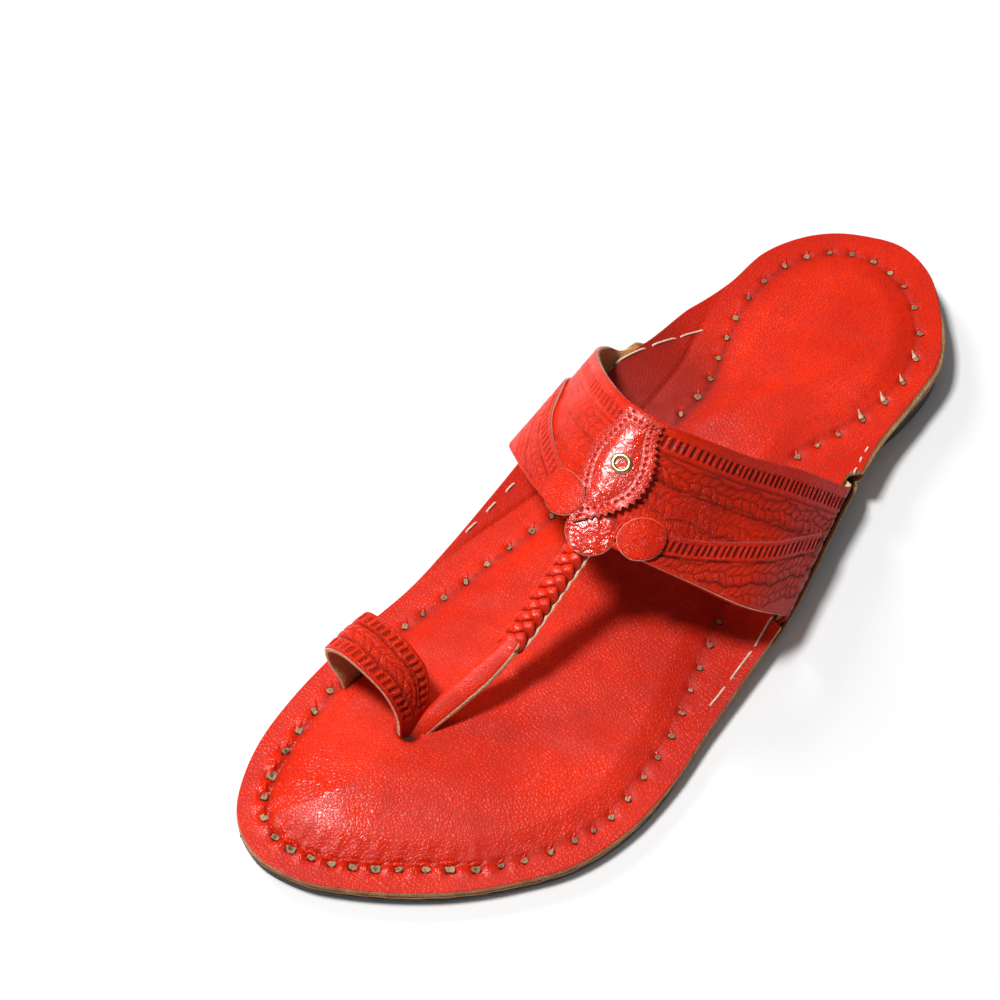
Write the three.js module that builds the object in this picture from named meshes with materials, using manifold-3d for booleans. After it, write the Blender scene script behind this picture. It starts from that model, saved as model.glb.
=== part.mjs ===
// Left sandal with a toe loop, a plaited thong and a broad instep band, in millimetres.
// The toe points to -Y, the lateral side is +X, +Z is up. The origin is on the floor,
// below the middle of the shoe's length and breadth.
import * as THREE from "three";
import { mergeVertices } from "three/addons/utils/BufferGeometryUtils.js";
import Module from "manifold-3d";

const wasm = await Module();
wasm.setup();

// Driving dimensions of the sole.
const TOE_END = -133;
const HEEL_END = 132;
const HEEL_RISE = 6.5;
const RISE_START = 8;
const RISE_END = 52;
const TOE_SPRING = 1;
const SPRING_START = -88;
const OUTSOLE_THICK = 1.5;
const MIDSOLE_THICK = 1;
const INSOLE_THICK = 1.8;
const INSOLE_DOME = 1.8;
const DOME_EASE = 16;
const PIECE_GAP = 0.3;
const MIDDLE_SHIFT = -1.1;
const MIDDLE_SETBACK = 0.5;

// Driving dimensions of the ears, the flaps that hold the band at the waist.
const EAR_REACH = 12;
const EAR_LIFT = 3;
const EAR_LIFT_LIMIT = 1.4;
const EAR_LIFT_CURVE = 1.2;
const EAR_LAYER_THICK = 1;
const EAR_LAYER_CLEAR = 3;
const EAR_NOTCH = 3.6;
const NOTCH_EASE = 3;
const FOOT_INSET = 0.8;
const FOOT_GAP = 0.5;
const FOOT_TUCK = 1.4;
const FOOT_BEND = 1.5;
const BAND_FEET = { medial: { rear: 53, front: 5 }, lateral: { rear: 55, front: 7 } };

// Driving dimensions of the leather on top.
const BAND_THICK = 1.5;
const STRIP_THICK = 1.2;
const DISC_THICK = 1.2;
const LEAF_THICK = 1.2;
const LOOP_THICK = 1.7;
const PLAIT = { width: 6.8, thick: 4.6 };
const STRAP = { width: 6, thick: 3.4 };
const SLOTS = [
  { at: [-34.1, -75.2], size: [4.2, 16.4] },
  { at: [-11.1, -82.4], size: [7.6, 6.9] },
];
const SLOT_DEPTH = { low: 1, high: 13 };

// Sole sections from toe to heel: the edges of the sole, and of the insole where its ears stand out.
const SOLE_SECTIONS = [
  { y: -133, medial: -18.5, lateral: -12.5, earMedial: -18.5, earLateral: -12.5 },
  { y: -130.5, medial: -25.6, lateral: -3.2, earMedial: -25.6, earLateral: -3.2 },
  { y: -126, medial: -31, lateral: 4.9, earMedial: -31, earLateral: 4.9 },
  { y: -118, medial: -36, lateral: 16, earMedial: -36, earLateral: 16 },
  { y: -108, medial: -39.8, lateral: 27, earMedial: -39.8, earLateral: 27 },
  { y: -96, medial: -42, lateral: 36.8, earMedial: -42, earLateral: 36.8 },
  { y: -82, medial: -43, lateral: 45.4, earMedial: -43, earLateral: 45.4 },
  { y: -66, medial: -42.8, lateral: 49.5, earMedial: -42.8, earLateral: 49.5 },
  { y: -48, medial: -41.2, lateral: 49.3, earMedial: -41.7, earLateral: 49.6 },
  { y: -30, medial: -38.8, lateral: 44.6, earMedial: -42.6, earLateral: 47 },
  { y: -10, medial: -35.8, lateral: 37.6, earMedial: -44.3, earLateral: 44.6 },
  { y: 14, medial: -31.5, lateral: 29.5, earMedial: -46.4, earLateral: 41.6 },
  { y: 36, medial: -28.5, lateral: 23.5, earMedial: -47.2, earLateral: 36.6 },
  { y: 54, medial: -29.5, lateral: 21, earMedial: -45.6, earLateral: 32.2 },
  { y: 70, medial: -34, lateral: 25, earMedial: -41.6, earLateral: 28.4 },
  { y: 88, medial: -38.7, lateral: 26.7, earMedial: -38.9, earLateral: 26.9 },
  { y: 104, medial: -38.2, lateral: 24.6, earMedial: -38.2, earLateral: 24.6 },
  { y: 116, medial: -33.2, lateral: 17.3, earMedial: -33.2, earLateral: 17.3 },
  { y: 124, medial: -26.4, lateral: 9.8, earMedial: -26.4, earLateral: 9.8 },
  { y: 129, medial: -18.5, lateral: 3.6, earMedial: -18.5, earLateral: 3.6 },
  { y: 132, medial: -11, lateral: -4.5, earMedial: -11, earLateral: -4.5 },
];

// Band sections from the lateral foot to the medial foot: the rear edge and the front edge.
const BAND_SECTIONS = [
  { rear: [31.2, 51, 13.8], front: [42.4, 9.5, 9.3] },
  { rear: [28, 47, 17.8], front: [40.6, 4.5, 14.8] },
  { rear: [21.5, 40, 24.9], front: [35, -4, 23.3] },
  { rear: [13, 29, 34.7], front: [22.6, -10, 28.9] },
  { rear: [4, 19.5, 44.6], front: [10.8, -15.4, 33.7] },
  { rear: [-6, 13.5, 49.8], front: [-1.4, -18.8, 35.7] },
  { rear: [-16, 12.5, 50.3], front: [-13, -19.2, 35.9] },
  { rear: [-27, 17, 46.3], front: [-25, -15.2, 32.9] },
  { rear: [-37, 25, 38.3], front: [-36.4, -8.6, 26.7] },
  { rear: [-44, 34, 28.3], front: [-43.5, -3, 20.3] },
  { rear: [-46.6, 42.5, 18.8], front: [-45.6, 2, 13.8] },
  { rear: [-45.4, 46.5, 13.8], front: [-44.6, 5, 9.3] },
];

// Toe loop sections from its pinched lateral foot, over the big toe, to its medial foot.
const LOOP_SECTIONS = [
  { rear: [-11, -80, 3.7], front: [-12, -85, 3.7] },
  { rear: [-11.4, -79, 6.8], front: [-12.4, -84.5, 6.8] },
  { rear: [-12, -74, 11.3], front: [-13.6, -83.5, 13.3] },
  { rear: [-15.5, -69.8, 17.5], front: [-18, -83, 19.8] },
  { rear: [-22, -68.5, 21.5], front: [-25.5, -83, 23.3] },
  { rear: [-30, -68.2, 23], front: [-33, -83, 23.8] },
  { rear: [-37, -68, 21.3], front: [-38.6, -83, 19.9] },
  { rear: [-38.6, -68, 15.3], front: [-38, -83, 13.3] },
  { rear: [-35.5, -67.8, 8.3], front: [-34.4, -82.8, 7.5] },
  { rear: [-34.6, -67.8, 3.7], front: [-33.6, -82.8, 3.7] },
];

// Thong sections from the tab on the band, along the plait, to the folded strap at the toe slot.
const THONG_SECTIONS = [
  { at: [-3.6, -18.6, 36], width: 8, thick: 1.4 },
  { at: [-3.8, -21.8, 33.8], width: 8.4, thick: 2.6 },
  { at: [-4, -25.4, 31.3], width: PLAIT.width, thick: PLAIT.thick },
  { at: [-3.7, -37, 26.3], width: PLAIT.width, thick: PLAIT.thick },
  { at: [-3.4, -49, 20.5], width: PLAIT.width, thick: PLAIT.thick },
  { at: [-4.4, -57, 17.1], width: STRAP.width, thick: STRAP.thick },
  { at: [-6.6, -67, 13.1], width: STRAP.width, thick: STRAP.thick },
  { at: [-8.9, -77, 8.7], width: 5, thick: STRAP.thick },
  { at: [-10, -81.5, 5.7], width: 4.2, thick: 3 },
  { at: [-10.4, -82.4, 3.7], width: 3.8, thick: 2.8 },
];

// Ornaments on the band: mm across from the band's middle towards medial, and share of its width.
const DISC = { radius: 5.8, sides: 20 };
const DISC_PLACES = {
  lateral: { across: -15.6, share: 0.87 },
  medial: { across: 6.8, share: 0.86 },
  tab: { across: -3.6, share: 0.98 },
};
const STRIP_SECTIONS = {
  lateral: [
    { across: -10.8, share: 0.79 },
    { across: -21, share: 0.76 },
    { across: -30, share: 0.71 },
    { across: -40, share: 0.62 },
    { across: -51, share: 0.52 },
    { across: -63, share: 0.38 },
    { across: -65, share: 0.36 },
  ],
  medial: [
    { across: 8.6, share: 0.75 },
    { across: 18, share: 0.68 },
    { across: 25.5, share: 0.62 },
    { across: 33, share: 0.54 },
    { across: 38.5, share: 0.42 },
    { across: 44, share: 0.35 },
    { across: 52, share: 0.34 },
  ],
};
const LEAF_SECTIONS = [
  { share: 0.04, medial: 4.4, lateral: -6 },
  { share: 0.18, medial: 5.6, lateral: -6.6 },
  { share: 0.32, medial: 7.2, lateral: -8.8 },
  { share: 0.46, medial: 7.6, lateral: -9.7 },
  { share: 0.6, medial: 6.6, lateral: -9.4 },
  { share: 0.7, medial: 5.2, lateral: -7.4 },
  { share: 0.8, medial: 3, lateral: -4.8 },
  { share: 0.9, medial: 0.6, lateral: -1.6 },
];
const EYELET = { across: -1.7, share: 0.43, outer: 2.9, bore: 1.5, wall: 0.6, rise: 0.8 };

// Materials.
const RED = { color: 0xd93a22, roughness: 0.35, metalness: 0 };
const DEEP_RED = { color: 0xc42f1c, roughness: 0.3, metalness: 0 };
const TAN = { color: 0xc49a66, roughness: 0.7, metalness: 0 };
const RUBBER = { color: 0x2b2a2a, roughness: 0.85, metalness: 0 };
const BRASS = { color: 0xb8a05a, roughness: 0.3, metalness: 1 };

const smooth = (low, high, value) => THREE.MathUtils.smoothstep(value, low, high);
const lerp = THREE.MathUtils.lerp;

// Height of the outsole's underside above the floor at a station.
function underside(y) {
  const spring = Math.max(0, (SPRING_START - y) / (SPRING_START - TOE_END));
  return HEEL_RISE * smooth(RISE_START, RISE_END, y) + TOE_SPRING * spring ** 2;
}

// A closed outline through the section table, and its edges at any station.
function outline(medialKey, lateralKey) {
  const side = (key) => SOLE_SECTIONS.map((row) => new THREE.Vector3(row[key], row.y, 0));
  const curve = new THREE.CatmullRomCurve3([...side(medialKey), ...side(lateralKey).reverse()], true);
  const points = curve.getPoints(400);
  return (y) => {
    const crossings = [];
    points.forEach((a, index) => {
      const b = points[(index + 1) % points.length];
      if ((a.y - y) * (b.y - y) <= 0 && a.y !== b.y) {
        crossings.push(lerp(a.x, b.x, (y - a.y) / (b.y - a.y)));
      }
    });
    return [Math.min(...crossings), Math.max(...crossings)];
  };
}

const soleEdges = outline("medial", "lateral");
const earEdges = outline("earMedial", "earLateral");

// Stations where a notch begins or ends, which every layer of the sole shares.
const NOTCH_ROWS = Object.values(BAND_FEET)
  .flatMap(({ rear, front }) => [front - NOTCH_EASE, front, rear, rear + NOTCH_EASE]);

// The notch that lets the band's foot pass, from 0 beside it to 1 along it.
function notch(foot, y) {
  return smooth(foot.front - NOTCH_EASE, foot.front, y) * (1 - smooth(foot.rear, foot.rear + NOTCH_EASE, y));
}

function insoleEdges(y) {
  const [medial, lateral] = earEdges(y);
  return [medial + EAR_NOTCH * notch(BAND_FEET.medial, y), lateral - EAR_NOTCH * notch(BAND_FEET.lateral, y)];
}

// How far the ear has lifted at a place outside the sole's edge.
function earLift(x, y) {
  const [medial, lateral] = soleEdges(y);
  const outside = Math.max(0, medial - x, x - lateral);
  return EAR_LIFT * Math.min(EAR_LIFT_LIMIT, outside / EAR_REACH) ** EAR_LIFT_CURVE;
}

// Layers of the sole, from the floor up.
const midsoleUnder = (y) => underside(y) + OUTSOLE_THICK + PIECE_GAP;
const insoleUnder = (x, y) => midsoleUnder(y) + MIDSOLE_THICK + PIECE_GAP + earLift(x, y);
function insoleTop(x, y) {
  const [medial, lateral] = soleEdges(y);
  const across = THREE.MathUtils.clamp((2 * (x - medial)) / (lateral - medial) - 1, -1, 1);
  const ends = smooth(HEEL_END, HEEL_END - DOME_EASE, y) * smooth(TOE_END, TOE_END + DOME_EASE, y);
  return insoleUnder(x, y) + INSOLE_THICK + INSOLE_DOME * ends * (1 - Math.abs(across) ** 5);
}

function meshGeometry(positions, indices) {
  const geometry = new THREE.BufferGeometry();
  geometry.setAttribute("position", new THREE.Float32BufferAttribute(positions, 3));
  geometry.setIndex(indices);
  return geometry;
}

// A closed solid between two sheets of points that share their parameters.
function sheetSolid(acrossSteps, alongSteps, upperAt, lowerAt) {
  const positions = [];
  const indices = [];
  const wide = acrossSteps.length;
  const long = alongSteps.length;
  for (const sheet of [upperAt, lowerAt]) {
    for (const v of alongSteps) {
      for (const u of acrossSteps) {
        positions.push(...sheet(u, v));
      }
    }
  }
  const vertex = (layer, i, j) => layer * wide * long + j * wide + i;
  const quad = (a, b, c, d) => indices.push(a, b, c, a, c, d);
  for (let j = 0; j < long - 1; j += 1) {
    for (let i = 0; i < wide - 1; i += 1) {
      quad(vertex(0, i, j), vertex(0, i + 1, j), vertex(0, i + 1, j + 1), vertex(0, i, j + 1));
      quad(vertex(1, i, j), vertex(1, i, j + 1), vertex(1, i + 1, j + 1), vertex(1, i + 1, j));
    }
  }
  for (let i = 0; i < wide - 1; i += 1) {
    quad(vertex(0, i, 0), vertex(1, i, 0), vertex(1, i + 1, 0), vertex(0, i + 1, 0));
    quad(vertex(0, i + 1, long - 1), vertex(1, i + 1, long - 1), vertex(1, i, long - 1), vertex(0, i, long - 1));
  }
  for (let j = 0; j < long - 1; j += 1) {
    quad(vertex(0, 0, j + 1), vertex(1, 0, j + 1), vertex(1, 0, j), vertex(0, 0, j));
    quad(vertex(0, wide - 1, j), vertex(1, wide - 1, j), vertex(1, wide - 1, j + 1), vertex(0, wide - 1, j + 1));
  }
  return meshGeometry(positions, indices);
}

// A closed tube through rings of points, with a fan about a middle point at each end.
function ringSolid(rings, middles) {
  const sides = rings[0].length;
  const positions = [...rings.flat(2), ...middles.flat()];
  const indices = [];
  for (let r = 0; r < rings.length - 1; r += 1) {
    for (let s = 0; s < sides; s += 1) {
      const next = (s + 1) % sides;
      const [a, b] = [r * sides + s, r * sides + next];
      indices.push(a, b, b + sides, a, b + sides, a + sides);
    }
  }
  const last = (rings.length - 1) * sides;
  const middle = rings.length * sides;
  for (let s = 0; s < sides; s += 1) {
    const next = (s + 1) % sides;
    indices.push(middle, next, s);
    indices.push(middle + 1, last + s, last + next);
  }
  return meshGeometry(positions, indices);
}

function toManifold(geometry) {
  const merged = mergeVertices(geometry, 1e-4);
  return new wasm.Manifold(new wasm.Mesh({
    numProp: 3,
    vertProperties: merged.attributes.position.array,
    triVerts: Uint32Array.from(merged.index.array),
  }));
}

function fromManifold(solid) {
  const { vertProperties, triVerts } = solid.getMesh();
  return meshGeometry(vertProperties, Array.from(triVerts));
}

const evenSteps = (low, high, count) => Array.from({ length: count + 1 }, (_, i) => lerp(low, high, i / count));

// Stations that crowd towards both ends, where the outline turns.
function stations(low, high, count) {
  return evenSteps(0, 1, count).map((t) => lerp(low, high, 0.35 * t + 0.65 * (1 - Math.cos(Math.PI * t)) / 2));
}

function soleLayer(edges, rows, acrossSteps, topAt, underAt) {
  const place = (heightAt) => (u, y) => {
    const [medial, lateral] = edges(y);
    const x = lerp(medial, lateral, u);
    return [x, y, heightAt(x, y)];
  };
  return sheetSolid(acrossSteps, rows, place(topAt), place(underAt));
}

const END_INSET = 0.25;
const LAYER_STEPS = evenSteps(0, 1, 4);
const SOLE_ROWS = [...stations(TOE_END + END_INSET, HEEL_END - END_INSET, 36), ...NOTCH_ROWS]
  .sort((a, b) => a - b);
const rowsBetween = (low, high) => [low, ...SOLE_ROWS.filter((y) => y > low + 1 && y < high - 1), high];

function makeOutsole() {
  const top = (x, y) => underside(y) + OUTSOLE_THICK;
  return soleLayer(soleEdges, SOLE_ROWS, LAYER_STEPS, top, (x, y) => underside(y));
}

function makeHeel() {
  const rows = rowsBetween(RISE_END - 2, HEEL_END - END_INSET);
  return soleLayer(soleEdges, rows, LAYER_STEPS, (x, y) => underside(y) - PIECE_GAP, () => 0);
}

function makeMidsole() {
  const top = (x, y) => midsoleUnder(y) + MIDSOLE_THICK;
  return soleLayer(soleEdges, SOLE_ROWS, LAYER_STEPS, top, (x, y) => midsoleUnder(y));
}

// A slot through the insole for a strap that ends inside it.
function slotCutter({ at, size }) {
  const box = new THREE.BoxGeometry(...size, SLOT_DEPTH.high - SLOT_DEPTH.low);
  box.deleteAttribute("normal");
  box.deleteAttribute("uv");
  box.translate(...at, (SLOT_DEPTH.high + SLOT_DEPTH.low) / 2);
  return toManifold(box);
}

const INSOLE_STEPS = [0, 0.05, 0.16, 0.32, 0.5, 0.68, 0.84, 0.95, 1];

function makeInsole() {
  const plate = toManifold(soleLayer(insoleEdges, SOLE_ROWS, INSOLE_STEPS, insoleTop, insoleUnder));
  return fromManifold(SLOTS.reduce((solid, slot) => solid.subtract(slotCutter(slot)), plate));
}

// The lower layer of an ear: a crescent beside the sole that dips to let the band's foot in.
function makeEarLayer(side) {
  const rows = rowsBetween(...side.rows);
  const edges = (y) => {
    const inner = soleEdges(y)[side.index] + side.sign * EAR_LAYER_CLEAR * notch(side.foot, y)
      + side.sign * PIECE_GAP;
    return [inner, Math.max(side.sign * earEdges(y)[side.index], side.sign * inner + 1) * side.sign]
      .sort((a, b) => a - b);
  };
  const dip = BAND_THICK + 2 * FOOT_GAP - PIECE_GAP;
  const top = (x, y) => insoleUnder(x, y) - PIECE_GAP - dip * notch(side.foot, y);
  return soleLayer(edges, rows, LAYER_STEPS, top, (x, y) => top(x, y) - EAR_LAYER_THICK);
}

const widened = (foot) => ({ rear: foot.rear + NOTCH_EASE, front: foot.front - NOTCH_EASE });
const MEDIAL_EAR = { index: 0, sign: -1, rows: [-38, 76], foot: widened(BAND_FEET.medial) };
const LATERAL_EAR = { index: 1, sign: 1, rows: [-36, 68], foot: widened(BAND_FEET.lateral) };

// The band's foot at one side: folded under the ear, towards the sole.
function footPoints(side, y) {
  const outer = earEdges(y)[side.index] - side.sign * (EAR_NOTCH - 2 * PIECE_GAP - BAND_THICK / 2);
  const inner = soleEdges(y)[side.index] + side.sign * FOOT_TUCK;
  const level = (x) => insoleUnder(x, y) - FOOT_GAP - BAND_THICK / 2;
  const bend = outer - side.sign * FOOT_BEND;
  return [
    new THREE.Vector3(inner, y, level(inner)),
    new THREE.Vector3(bend, y, level(bend)),
    new THREE.Vector3(outer, y, level(bend) + FOOT_BEND),
  ];
}

const towards = (row, share) => row.rear.map((value, axis) => lerp(value, row.front[axis], share));

const bandCurves = new Map();
function bandCurve(share) {
  if (!bandCurves.has(share)) {
    const lateralY = lerp(BAND_FEET.lateral.rear - FOOT_INSET, BAND_FEET.lateral.front + FOOT_INSET, share);
    const medialY = lerp(BAND_FEET.medial.rear - FOOT_INSET, BAND_FEET.medial.front + FOOT_INSET, share);
    const arch = BAND_SECTIONS.map((row) => new THREE.Vector3(...towards(row, share)));
    const points = [
      ...footPoints(LATERAL_EAR, lateralY),
      ...arch,
      ...footPoints(MEDIAL_EAR, medialY).reverse(),
    ];
    bandCurves.set(share, new THREE.CatmullRomCurve3(points));
  }
  return bandCurves.get(share);
}

// A point on the band's middle surface, lifted along its normal. Position 0 to 1 runs from foot to foot.
function bandPoint(position, share, lift) {
  const step = 1e-3;
  const at = (t, v) => bandCurve(v).getPoint(THREE.MathUtils.clamp(t, 0, 1));
  const along = at(position + step, share).sub(at(position - step, share));
  const down = at(position, 1).sub(at(position, 0));
  const normal = along.cross(down).normalize();
  return at(position, share).addScaledVector(normal, lift).toArray();
}

const BAND_STEPS = evenSteps(0, 1, 51);
const SHARE_STEPS = evenSteps(0, 1, 7);

// Sheets drawn on the band swap their parameters, so that the outer face looks outwards.
function bandSheet(positions, shares, low, high) {
  const at = (lift) => (share, position) => bandPoint(position, share, lift);
  return sheetSolid(shares, positions, at(low), at(high));
}

// A strap's ring: an oval across the strap, wider than it is thick.
function ovalRing(centre, forward, width, thick, sides) {
  const side = new THREE.Vector3(1, 0, 0);
  side.addScaledVector(forward, -side.dot(forward)).normalize();
  const up = new THREE.Vector3().crossVectors(forward, side).normalize();
  return evenSteps(0, 2 * Math.PI, sides).slice(0, sides).map((angle) => centre.clone()
    .addScaledVector(side, (Math.cos(angle) * width) / 2)
    .addScaledVector(up, (Math.sin(angle) * thick) / 2)
    .toArray());
}

function makeThong() {
  const centres = THONG_SECTIONS.map((row) => new THREE.Vector3(...row.at));
  const curve = new THREE.CatmullRomCurve3(centres);
  const last = THONG_SECTIONS.length - 1;
  const rings = evenSteps(0, 1, last * 2).map((t) => {
    const index = Math.min(Math.floor(t * last), last - 1);
    const part = t * last - index;
    const size = (key) => lerp(THONG_SECTIONS[index][key], THONG_SECTIONS[index + 1][key], part);
    return ovalRing(curve.getPoint(t), curve.getTangent(t), size("width"), size("thick"), 12);
  });
  return ringSolid(rings, [curve.getPoint(0).toArray(), curve.getPoint(1).toArray()]);
}

function makeToeLoop() {
  const points = (share) => LOOP_SECTIONS.map((row) => new THREE.Vector3(...towards(row, share)));
  const [rear, front] = [points(0), points(1)].map((side) => new THREE.CatmullRomCurve3(side));
  const at = (lift) => (share, t) => {
    const across = front.getPoint(t).sub(rear.getPoint(t));
    const point = rear.getPoint(t).addScaledVector(across, share);
    const normal = rear.getTangent(t).cross(across).normalize();
    return point.addScaledVector(normal, lift).toArray();
  };
  return sheetSolid(evenSteps(0, 1, 3), evenSteps(0, 1, 30), at(-LOOP_THICK / 2), at(LOOP_THICK / 2));
}

// The band's middle, and positions and shares for lengths measured along the leather.
const BAND_MIDDLE = 0.5;
const bandLength = bandCurve(0.5).getLength();
const bandWidth = bandCurve(0).getPoint(BAND_MIDDLE).distanceTo(bandCurve(1).getPoint(BAND_MIDDLE));
function bandPosition(across) {
  const middle = bandCurve(0.5);
  const lengths = middle.getLengths(400);
  const centre = lengths[Math.round(BAND_MIDDLE * 400)];
  return middle.getUtoTmapping((centre + across) / bandLength);
}

const STRIP_LOW = BAND_THICK / 2 + PIECE_GAP;
const STRIP_HIGH = STRIP_LOW + STRIP_THICK;
const DISC_LOW = STRIP_HIGH + PIECE_GAP;
const DISC_HIGH = DISC_LOW + DISC_THICK;
const STRIP_STEPS = 14;

// The crescent overlay along the band's front edge, from its middle end to its foot.
function makeFrontStrip(sections, outwards) {
  const rear = new THREE.CatmullRomCurve3(sections.map((row) => new THREE.Vector3(row.across, row.share, 0)));
  const at = (lift) => (u, t) => {
    const { x, y } = rear.getPoint(t);
    return bandPoint(bandPosition(x), lerp(y, 1, u), lift);
  };
  const [low, high] = outwards > 0 ? [at(STRIP_LOW), at(STRIP_HIGH)] : [at(STRIP_HIGH), at(STRIP_LOW)];
  return sheetSolid(evenSteps(0, 1, 3), evenSteps(0, 1, STRIP_STEPS), low, high);
}

function bandRing(place, radius, sides, lift) {
  return evenSteps(0, 2 * Math.PI, sides).slice(0, sides).map((angle) => bandPoint(
    bandPosition(place.across + radius * Math.cos(angle)),
    place.share + (radius * Math.sin(angle)) / bandWidth,
    lift,
  ));
}

// A round piece on the band between two lifts off its middle surface.
function bandDisc(place, radius, sides, low, high) {
  const middles = [low, high].map((lift) => bandPoint(bandPosition(place.across), place.share, lift));
  return ringSolid([low, high].map((lift) => bandRing(place, radius, sides, lift)), middles);
}

function makeDisc(place) {
  return bandDisc(place, DISC.radius, DISC.sides, DISC_LOW, DISC_HIGH);
}

// Band, tab, thong and toe loop are one upper, joined where they cross.
function makeUpper() {
  const half = BAND_THICK / 2;
  const parts = [
    bandSheet(BAND_STEPS, SHARE_STEPS, -half, half),
    bandDisc(DISC_PLACES.tab, DISC.radius, DISC.sides, -half, half),
    makeThong(),
    makeToeLoop(),
  ];
  return fromManifold(parts.map(toManifold).reduce((solid, part) => solid.add(part)));
}

const EYELET_SIDES = 16;
const EYELET_SEAT = STRIP_LOW + LEAF_THICK + 2 * PIECE_GAP;
const eyeletSleeve = (radius, low, high) => toManifold(bandDisc(EYELET, radius, EYELET_SIDES, low, high));

// The leaf lies on the band, with its straight end at the rear edge and its tip at the tab.
function makeLeaf() {
  const side = (key) => LEAF_SECTIONS.map((row) => new THREE.Vector3(row[key], row.share, 0));
  const [medial, lateral] = ["medial", "lateral"].map((key) => new THREE.CatmullRomCurve3(side(key)));
  const at = (lift) => (u, t) => {
    const [a, b] = [lateral.getPoint(t), medial.getPoint(t)];
    return bandPoint(bandPosition(lerp(a.x, b.x, u)), lerp(a.y, b.y, u), lift);
  };
  const sheets = [at(STRIP_LOW + LEAF_THICK), at(STRIP_LOW)];
  const plate = toManifold(sheetSolid(evenSteps(0, 1, 6), evenSteps(0, 1, 14), ...sheets));
  const hole = eyeletSleeve(EYELET.bore + EYELET.wall + PIECE_GAP, 0, 2 * EYELET_SEAT);
  return fromManifold(plate.subtract(hole));
}

// A rolled brass ring above the leaf with a short neck through it.
function makeEyelet() {
  const flange = eyeletSleeve(EYELET.outer, EYELET_SEAT, EYELET_SEAT + EYELET.rise);
  const neck = eyeletSleeve(EYELET.bore + EYELET.wall, STRIP_LOW, EYELET_SEAT + EYELET.rise / 2);
  const bore = eyeletSleeve(EYELET.bore, 0, 2 * EYELET_SEAT);
  return fromManifold(flange.add(neck).subtract(bore));
}

const PIECES = [
  ["outsole", makeOutsole(), RUBBER],
  ["heel", makeHeel(), RUBBER],
  ["midsole", makeMidsole(), TAN],
  ["insole", makeInsole(), RED],
  ["ear_lateral", makeEarLayer(LATERAL_EAR), TAN],
  ["ear_medial", makeEarLayer(MEDIAL_EAR), TAN],
  ["upper", makeUpper(), RED],
  ["front_strip_lateral", makeFrontStrip(STRIP_SECTIONS.lateral, -1), RED],
  ["front_strip_medial", makeFrontStrip(STRIP_SECTIONS.medial, 1), RED],
  ["disc_lateral", makeDisc(DISC_PLACES.lateral), DEEP_RED],
  ["disc_medial", makeDisc(DISC_PLACES.medial), DEEP_RED],
  ["leaf", makeLeaf(), DEEP_RED],
  ["eyelet", makeEyelet(), BRASS],
];

const sandal = new THREE.Group();
sandal.position.set(MIDDLE_SHIFT, MIDDLE_SETBACK, 0);
for (const [name, geometry, finish] of PIECES) {
  const mesh = new THREE.Mesh(geometry, new THREE.MeshStandardMaterial(finish));
  mesh.name = name;
  sandal.add(mesh);
}
export default sandal;
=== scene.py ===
"""Looks of a flat left sandal: laced red leather sole, stamped instep band, plaited thong and toe loop.

Sizes are in millimetres in the sandal's own frame (toe to -Y, lateral side +X, +Z up) until a mesh is made.
"""

import logging
import math
from dataclasses import dataclass, field
from enum import Enum
from typing import Callable

import bpy
import numpy as np
from mathutils import Euler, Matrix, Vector


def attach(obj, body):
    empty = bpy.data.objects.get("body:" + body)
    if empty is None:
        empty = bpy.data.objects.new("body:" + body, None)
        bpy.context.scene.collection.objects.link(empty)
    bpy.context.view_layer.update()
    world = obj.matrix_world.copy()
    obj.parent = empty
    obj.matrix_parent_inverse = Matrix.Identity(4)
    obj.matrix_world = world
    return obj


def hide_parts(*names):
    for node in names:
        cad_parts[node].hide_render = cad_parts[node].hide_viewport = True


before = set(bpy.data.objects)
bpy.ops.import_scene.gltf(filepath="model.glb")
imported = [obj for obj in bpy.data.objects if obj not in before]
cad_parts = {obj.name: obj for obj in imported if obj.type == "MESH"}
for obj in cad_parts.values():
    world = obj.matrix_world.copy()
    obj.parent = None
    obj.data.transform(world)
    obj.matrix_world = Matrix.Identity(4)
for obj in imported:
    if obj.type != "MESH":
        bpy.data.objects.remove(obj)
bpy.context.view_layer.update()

MM = 0.001
SHIFT = np.array([-1.1, 0.5, 0.0])
BODY = "root"
GAP = 0.3
TOE_PUCKERS = (-86.0, -104.0)
log = logging.getLogger("sandal")

Array = np.ndarray
Rows = np.ndarray | tuple
Pair = tuple[float, float]
Triple = tuple[float, float, float]
Piece = bpy.types.Object
Node = bpy.types.Node
Socket = bpy.types.NodeSocket


class Slot(Enum):
    """The material slots."""

    RED = "red_leather"
    GLAZED = "glazed_leather"
    RAW = "raw_leather"
    RUBBER = "black_rubber"
    BRASS = "brass"


def smooth(low: float, high: float, value: Array) -> Array:
    """Eases from 0 at low to 1 at high.

    Args:
        low: where the ramp starts.
        high: where it ends.
        value: places along it.
    Returns:
        The eased share, shaped as value.
    """
    t = np.clip((np.asarray(value, float) - low) / (high - low), 0, 1)
    return t * t * (3 - 2 * t)


def bump(value: Array, width: float) -> Array:
    """A soft hump of 1 at 0 that has fallen to a third at width."""
    return np.exp(-((np.asarray(value, float) / width) ** 2))


def ripple(x: Array, y: Array, scale: float, seed: float) -> Array:
    """A smooth uneven field between about -1 and 1.

    Args:
        x: first coordinate.
        y: second coordinate.
        scale: its usual wave in millimetres.
        seed: moves the waves.
    Returns:
        The field at each place.
    """
    k = 2 * math.pi / scale
    total = np.sin(k * (x + 0.37 * y) + seed) + np.sin(k * (0.83 * y - 0.41 * x) * 1.31 + 2.1 * seed)
    total += 0.7 * np.sin(k * (x * 0.61 - y * 1.13) * 1.87 + 0.7 * seed)
    return total / 2.7


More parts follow.
